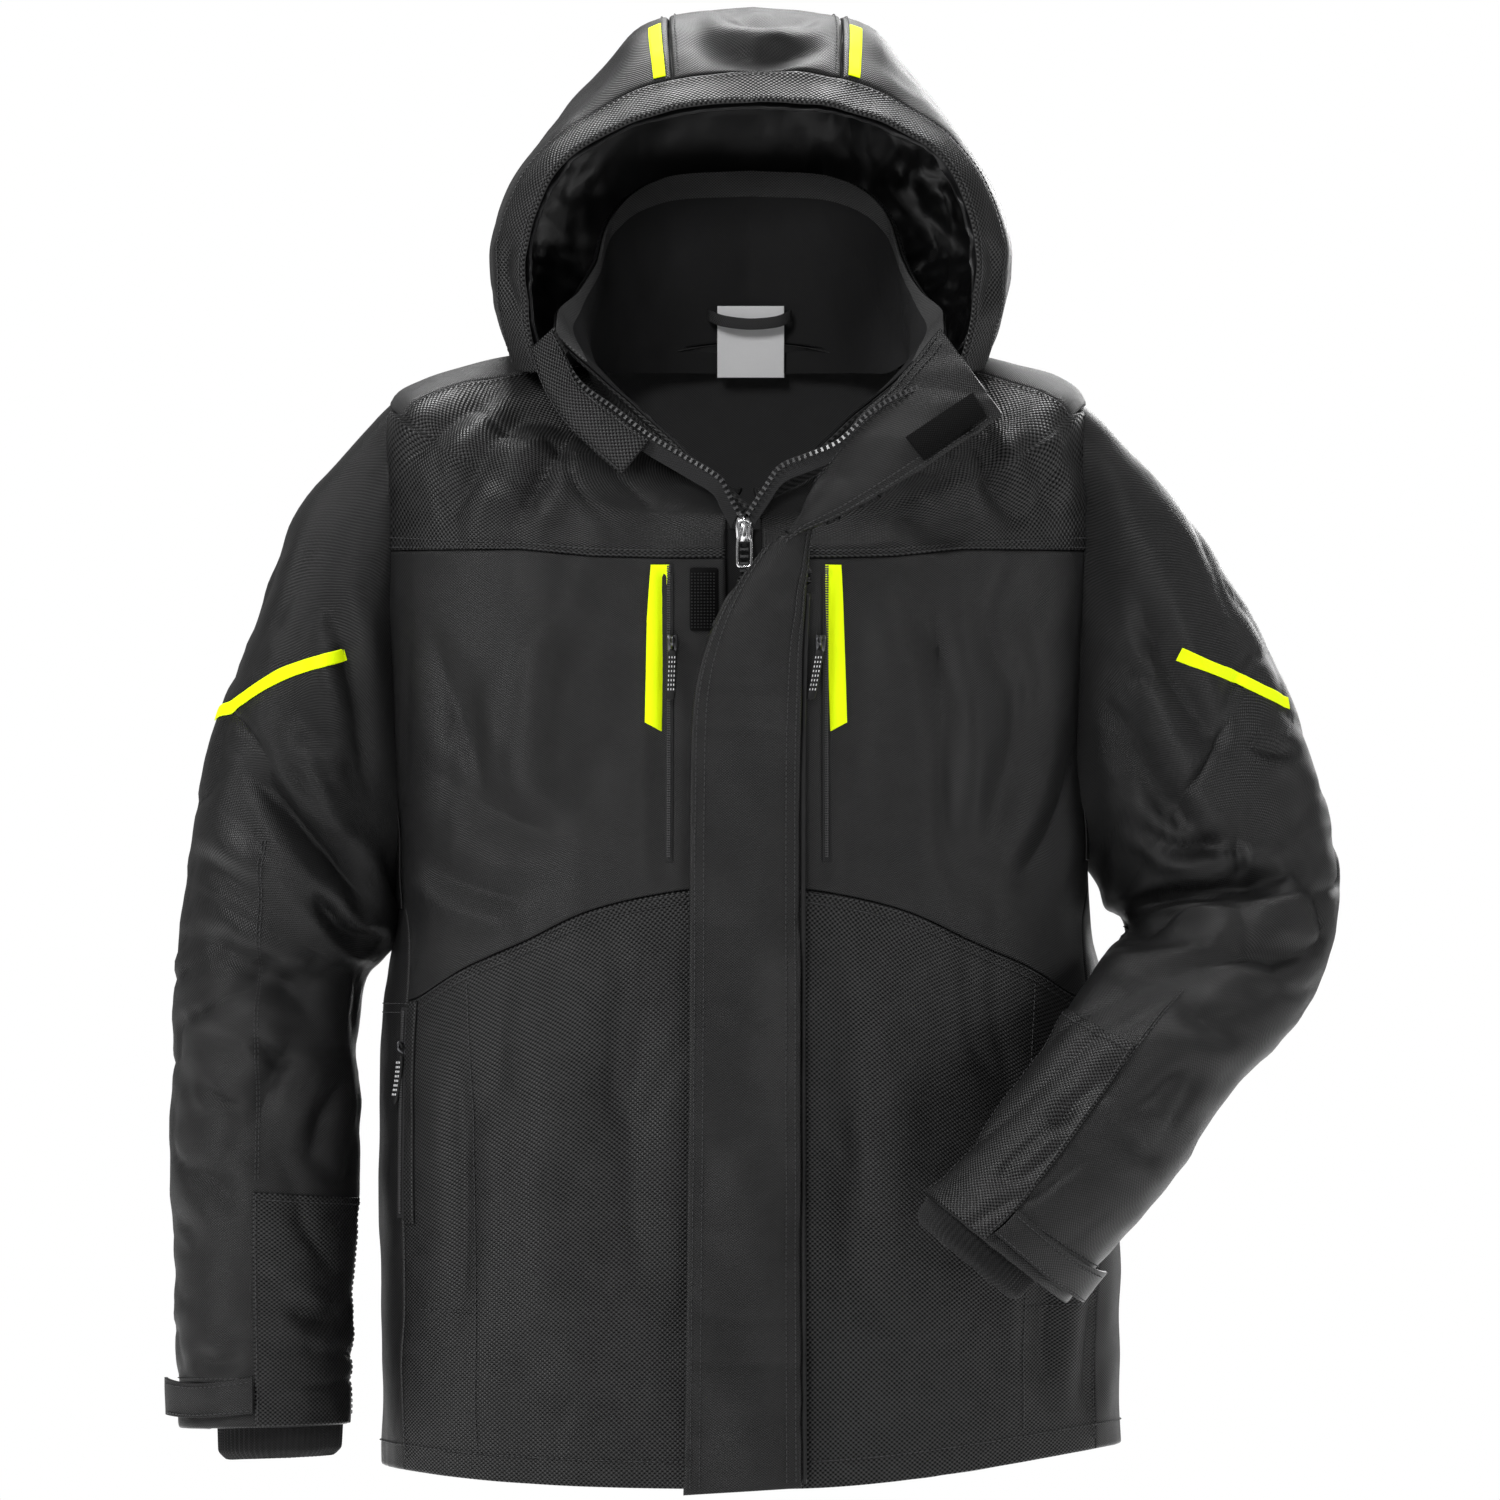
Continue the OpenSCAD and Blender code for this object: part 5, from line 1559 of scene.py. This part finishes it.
SEAMS = {RIGHT: [(-341, 455), (-345, 380), (-346, 300), (-346, 214)],
         LEFT: [(300, 352), (262, 306), (222, 262), (172, 196)]}
for word, side in SIDES.items():
    s = sleeves[side]
    ends = {RIGHT: [(-283, 585), (-330, 570), (-374, 542)], LEFT: [(300, 585), (340, 569), (378, 551)]}[side]
    ends = spline(ends, 11)[:, :2]
    stripe_shape = band_shape(s, np.array([sleeve_find(side, *end) for end in ends]), 9.0)
    piece = cloth(f"sleeve_stripe_{word}_tape", s, spread(0, 1, 105, 3), spread(0, 1, 9, 2.2), YELLOW_TAPE_AND_GLOW,
                  thick=0.9, lift=1.4, shape=stripe_shape, roll=0.5)
    part_of_sleeve(piece, word, "upper")
    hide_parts("sleeve_stripe_" + word)
    seam = 85 if side == RIGHT else 100
    top = 6.86 if side == RIGHT else 7.1
    piece = cloth(f"wrist_patch_{word}_cloth", s, spread(seam, 172, 95, 3), spread(top, 9.97, 200, 3.4),
                  COARSE, thick=1.8, lift=1.9, roll=1.0)
    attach(piece, "forearm_" + word)
    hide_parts("wrist_patch_" + word)

    def tab_shape(u, v, seam=seam):
        return seam - 1 + (2 - seam + 1) * u, 8.9 + 0.75 * v + 0.1 * np.sin(3 * u)

    tab = Surface(s.place, s.step, s.centre, [soft_sleeve(side)])
    us, vs = np.meshgrid(spread(0, 1, 95, 2.6), spread(0, 1, 27, 2.6), indexing="ij")
    lifts = 3.0 + 4.5 * us**2 + 1.2 * np.sin(7 * us + 1) * us
    ang, st = tab_shape(us, vs)
    outer, n = tab.at(ang, st, lifts)
    inner = outer - n * 2.2
    piece = closed_sheet(f"cuff_tab_{word}_cloth", outer, inner, SHELL)
    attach(piece, "cuff_tab_" + word)
    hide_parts("cuff_tab_" + word)
    rows = []
    for share in (0.1, 0.9):
        u1 = np.linspace(0.03, 0.97, 60)
        a1, s1 = tab_shape(u1, share + 0 * u1)
        rows.append(tab.at(a1, s1, 3.3 + 4.5 * u1**2 + 1.2 * np.sin(7 * u1 + 1) * u1))
    piece = stitches(f"cuff_tab_{word}_thread", rows, THREAD)
    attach(piece, "cuff_tab_" + word)

    def knit_place(angle, st, side=side):
        ring = sleeve_place(side)(angle, st)
        middle = (sleeve_place(side)(np.zeros_like(angle), st) + sleeve_place(side)(angle * 0 + 180, st)) / 2
        shift = (sleeve_place(side)(angle * 0 + 180, st) - middle) * 0.2
        rib = 0.6 * np.cos(np.radians(angle) * 64)[..., None]
        way = (ring - middle) / np.linalg.norm(ring - middle, axis=-1, keepdims=True)
        round_off = 4.5 * ramp(st, 10.45, 10.72)[..., None] ** 2
        return middle + shift + (ring - middle) * 0.74 + way * (rib - round_off)

    knit = Surface(knit_place, (0.4, 0.01), s.centre, [lambda p, n: 0.8 * lumps(p, 14, 97)])
    piece = cloth(f"knit_cuff_{word}_cloth", knit, np.arange(0, 360, 1.25), spread(9.4, 10.72, 85, 3), KNIT,
                  thick=3.2, wrap=True, roll=1.4)
    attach(piece, "forearm_" + word)
    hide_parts("knit_cuff_" + word)

    front = [s.at(np.linspace(0, 356, 150), 9.02 + 0 * np.linspace(0, 356, 150), 0.55),
             s.at(np.linspace(0, 356, 150), 8.93 + 0 * np.linspace(0, 356, 150), 0.55)]
    piece = stitches(f"cuff_thread_{word}", front, THREAD)
    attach(piece, "forearm_" + word)
    edge = []
    for angle in (seam + 2, 169):
        st = np.linspace(top + 0.04, 9.9, 100)
        edge.append(s.at(angle + 0 * st, st, 2.5))
    angle = np.linspace(seam + 2, 169, 60)
    edge.append(s.at(angle, top + 0.07 + 0 * angle, 2.5))
    piece = stitches(f"wrist_patch_{word}_thread", edge, THREAD)
    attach(piece, "forearm_" + word)
    piece = stitches(f"sleeve_seam_{word}_thread", [sleeve_line(side, SEAMS[side]),
                     sleeve_line(side, [(x + 2.2, z) for x, z in SEAMS[side]])], THREAD)
    part_of_sleeve(piece, word, "lower")


# ---------------------------------------------------------------- thread on the body

THREAD_LIFT = 0.6


def body_line(side, angles, v_of):
    return body.at(side * angles, v_of(angles), THREAD_LIFT)


for word, side in SIDES.items():
    lines = []
    a = np.linspace(PLACKET[side] + 1, 83, 220)
    lines += [body_line(side, a, raised(yoke_line, 2.4)), body_line(side, a, raised(yoke_line, 8.6))]
    lines += [body_line(side, a, raised(waist, -2.4)), body_line(side, a, raised(waist, -8.6))]
    a = np.linspace(PLACKET[side] + 1, 178, 460)
    lines.append(body_line(side, a, lambda angle: 30 + 0 * angle))
    v = np.linspace(20, 340, 200)
    lines.append(body.at(side * (SIDE_ANGLE - 0.9), v, 0.6))
    v = np.linspace(446, 748, 150)
    lines.append(body.at(side * (edge_angle(v) - 1.6), v, 0.6))
    a = np.linspace(0, 1, 100)
    v = 756 + a * 190
    lines.append(body.at(side * 68.6 + 0 * v, v, 0.6))
    # Pocket edge, slanting in from the side seam, and the small square under it.
    x = side * np.interp(np.linspace(0, 1, 150), [0, 0.28, 0.75, 1], [198, 194, 191, 191])
    z = np.linspace(355, 34, 150)
    lines.append(body.at(angle_of(x, z), z, 0.6))
    x2 = np.linspace(side * 230, side * 192, 30)
    lines.append(body.at(angle_of(x2, 126.7 + 0 * x2), 126.7 + 0 * x2, 0.6))
    piece = stitches(f"body_thread_{word}", lines, THREAD)
    on_torso(piece)

v = np.linspace(0.005, 0.995, 420)
piece = stitches("flap_thread", [flap.at(share + 0 * v, v, 1.9) for share in (0.05, 0.13, 0.87, 0.95)],
                 THREAD)
with_flap(piece)
angle = np.linspace(116, 244, 240)
piece = stitches("back_thread", [body.at(angle, YOKE + 3 + 0 * angle, 0.6),
                                 body.at(angle, YOKE + 9 + 0 * angle, 0.6)], THREAD)
on_torso(piece)
u = np.linspace(-0.985, 0.985, 320)
piece = stitches("collar_thread", [collar.at(u, 0.85 + 0 * u, 3.6), collar.at(u, 0.855 + 0 * u, 0.8)], THREAD)
on_torso(piece)
u = np.linspace(0.02, 0.98, 60)
piece = stitches("wing_thread", [wing.at(u, 0.1 + 0 * u, 3.0), wing.at(u, 0.9 + 0 * u, 3.0)], THREAD)
on_torso(piece)
u, t = np.linspace(-0.97, 0.97, 320), np.linspace(PEAK_END + 0.02, 0.93, 160)
rows = [hood.at(u, PEAK_END - 0.012 + 0 * u, 1.2), hood.at(u, 0.016 + 0 * u, 1.2)]
for side in (RIGHT, LEFT):
    rows += [hood.at(side * (CENTRE_HALF - 0.009) + 0 * t, t, 0.6),
             hood.at(side * (CENTRE_HALF + 0.011) + 0 * t, t, 0.6)]
piece = stitches("hood_thread", rows, THREAD)
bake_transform(piece)


# ---------------------------------------------------------------- camera, light and floor


SENSOR = 36
VIEW_DISTANCE, VIEW_WIDTH = 20.0, 1.05
AMBIENT = 0.24
FLOOR_DROP, FLOOR_RADIUS = 0.25, 5.0
FADE = (0.7, 1.9)  # the floor is whole within the first radius and gone past the second
# Name, place, watts and width of each soft light.
LIGHTS = [("left softbox", (-2.8, -1.9, 2.0), 100, 1.0), ("right softbox", (3.0, -1.0, 0.6), 34, 1.0),
          ("front fill", (-0.9, -4.0, 1.5), 60, 0.9), ("top", (-0.3, 0.1, 2.7), 75, 1.0),
          ("rim", (0.1, 1.4, 2.6), 200, 1.6), ("back fill", (1.4, 3.6, 0.9), 60, 1.6)]


def studio():
    """Camera square to the front, soft lights, white backdrop, and a floor that fades out."""
    scene = bpy.context.scene
    centre = placed([0, -40, 518])
    camera = bpy.data.objects.new("camera", bpy.data.cameras.new("camera"))
    camera.data.sensor_width = SENSOR
    camera.data.lens = SENSOR * VIEW_DISTANCE / VIEW_WIDTH
    camera.location = (centre[0], centre[1] - VIEW_DISTANCE, centre[2])
    camera.rotation_euler = (math.pi / 2, 0, 0)
    camera.data.clip_end = 50
    scene.collection.objects.link(camera)
    scene.camera = camera
    world = bpy.data.worlds.new("world")
    world.use_nodes = True
    tree = world.node_tree
    ambient = tree.nodes["Background"]
    ambient.inputs[0].default_value = (1, 1, 1, 1)
    ambient.inputs[1].default_value = AMBIENT
    white = tree.nodes.new("ShaderNodeBackground")
    white.inputs[0].default_value = (1, 1, 1, 1)
    mix = tree.nodes.new("ShaderNodeMixShader")
    tree.links.new(tree.nodes.new("ShaderNodeLightPath").outputs["Is Camera Ray"], mix.inputs[0])
    tree.links.new(ambient.outputs[0], mix.inputs[1])
    tree.links.new(white.outputs[0], mix.inputs[2])
    tree.links.new(mix.outputs[0], tree.nodes["World Output"].inputs[0])
    scene.world = world
    scene.view_settings.view_transform = "Standard"
    for name, place, power, size in LIGHTS:
        lamp = bpy.data.lights.new(name, "AREA")
        lamp.energy, lamp.size = power, size
        thing = bpy.data.objects.new(name, lamp)
        thing.location = place
        target = Vector((0, 0, -0.3))
        thing.rotation_euler = (target - Vector(place)).to_track_quat("-Z", "Y").to_euler()
        scene.collection.objects.link(thing)
    floor_z = cad_box[0].z - FLOOR_DROP
    turns = np.linspace(0, 2 * math.pi, 96, False)
    ring = [(FLOOR_RADIUS * math.cos(a), FLOOR_RADIUS * math.sin(a), floor_z) for a in turns]
    mesh = bpy.data.meshes.new("floor")
    mesh.from_pydata(ring, [], [tuple(range(96))])
    floor = bpy.data.objects.new("floor", mesh)
    scene.collection.objects.link(floor)
    material, tree, shader = nodes_of("pale floor")
    shader.inputs["Base Color"].default_value = (0.85, 0.85, 0.85, 1)
    shader.inputs["Roughness"].default_value = 0.9
    reach_node = tree.nodes.new("ShaderNodeVectorMath")
    reach_node.operation = "LENGTH"
    fade = tree.nodes.new("ShaderNodeMapRange")
    for name, value in (("From Min", FADE[0]), ("From Max", FADE[1]), ("To Min", 1.0), ("To Max", 0.0)):
        fade.inputs[name].default_value = value
    tree.links.new(tree.nodes.new("ShaderNodeTexCoord").outputs["Object"], reach_node.inputs[0])
    tree.links.new(reach_node.outputs["Value"], fade.inputs["Value"])
    bounce, alpha = tree.nodes.new("ShaderNodeMath"), tree.nodes.new("ShaderNodeMath")
    bounce.operation, alpha.operation = "SUBTRACT", "MAXIMUM"
    bounce.inputs[0].default_value = 1.0
    tree.links.new(tree.nodes.new("ShaderNodeLightPath").outputs["Is Camera Ray"], bounce.inputs[1])
    tree.links.new(bounce.outputs[0], alpha.inputs[0])
    tree.links.new(fade.outputs["Result"], alpha.inputs[1])
    tree.links.new(alpha.outputs[0], shader.inputs["Alpha"])
    mesh.materials.append(material)


studio()

for node_name, node_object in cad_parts.items():
    chosen = SHELL
    if "lining" in node_name or "bag" in node_name or "facing" in node_name:
        chosen = LINING
    elif "slider" in node_name or "main_pull" == node_name:
        chosen = METAL
    elif "stripe" in node_name:
        chosen = YELLOW_TAPE_AND_GLOW
    elif "teeth" in node_name or "zip_box" == node_name:
        chosen = TEETH
    for slot in node_object.material_slots:
        slot.material = chosen
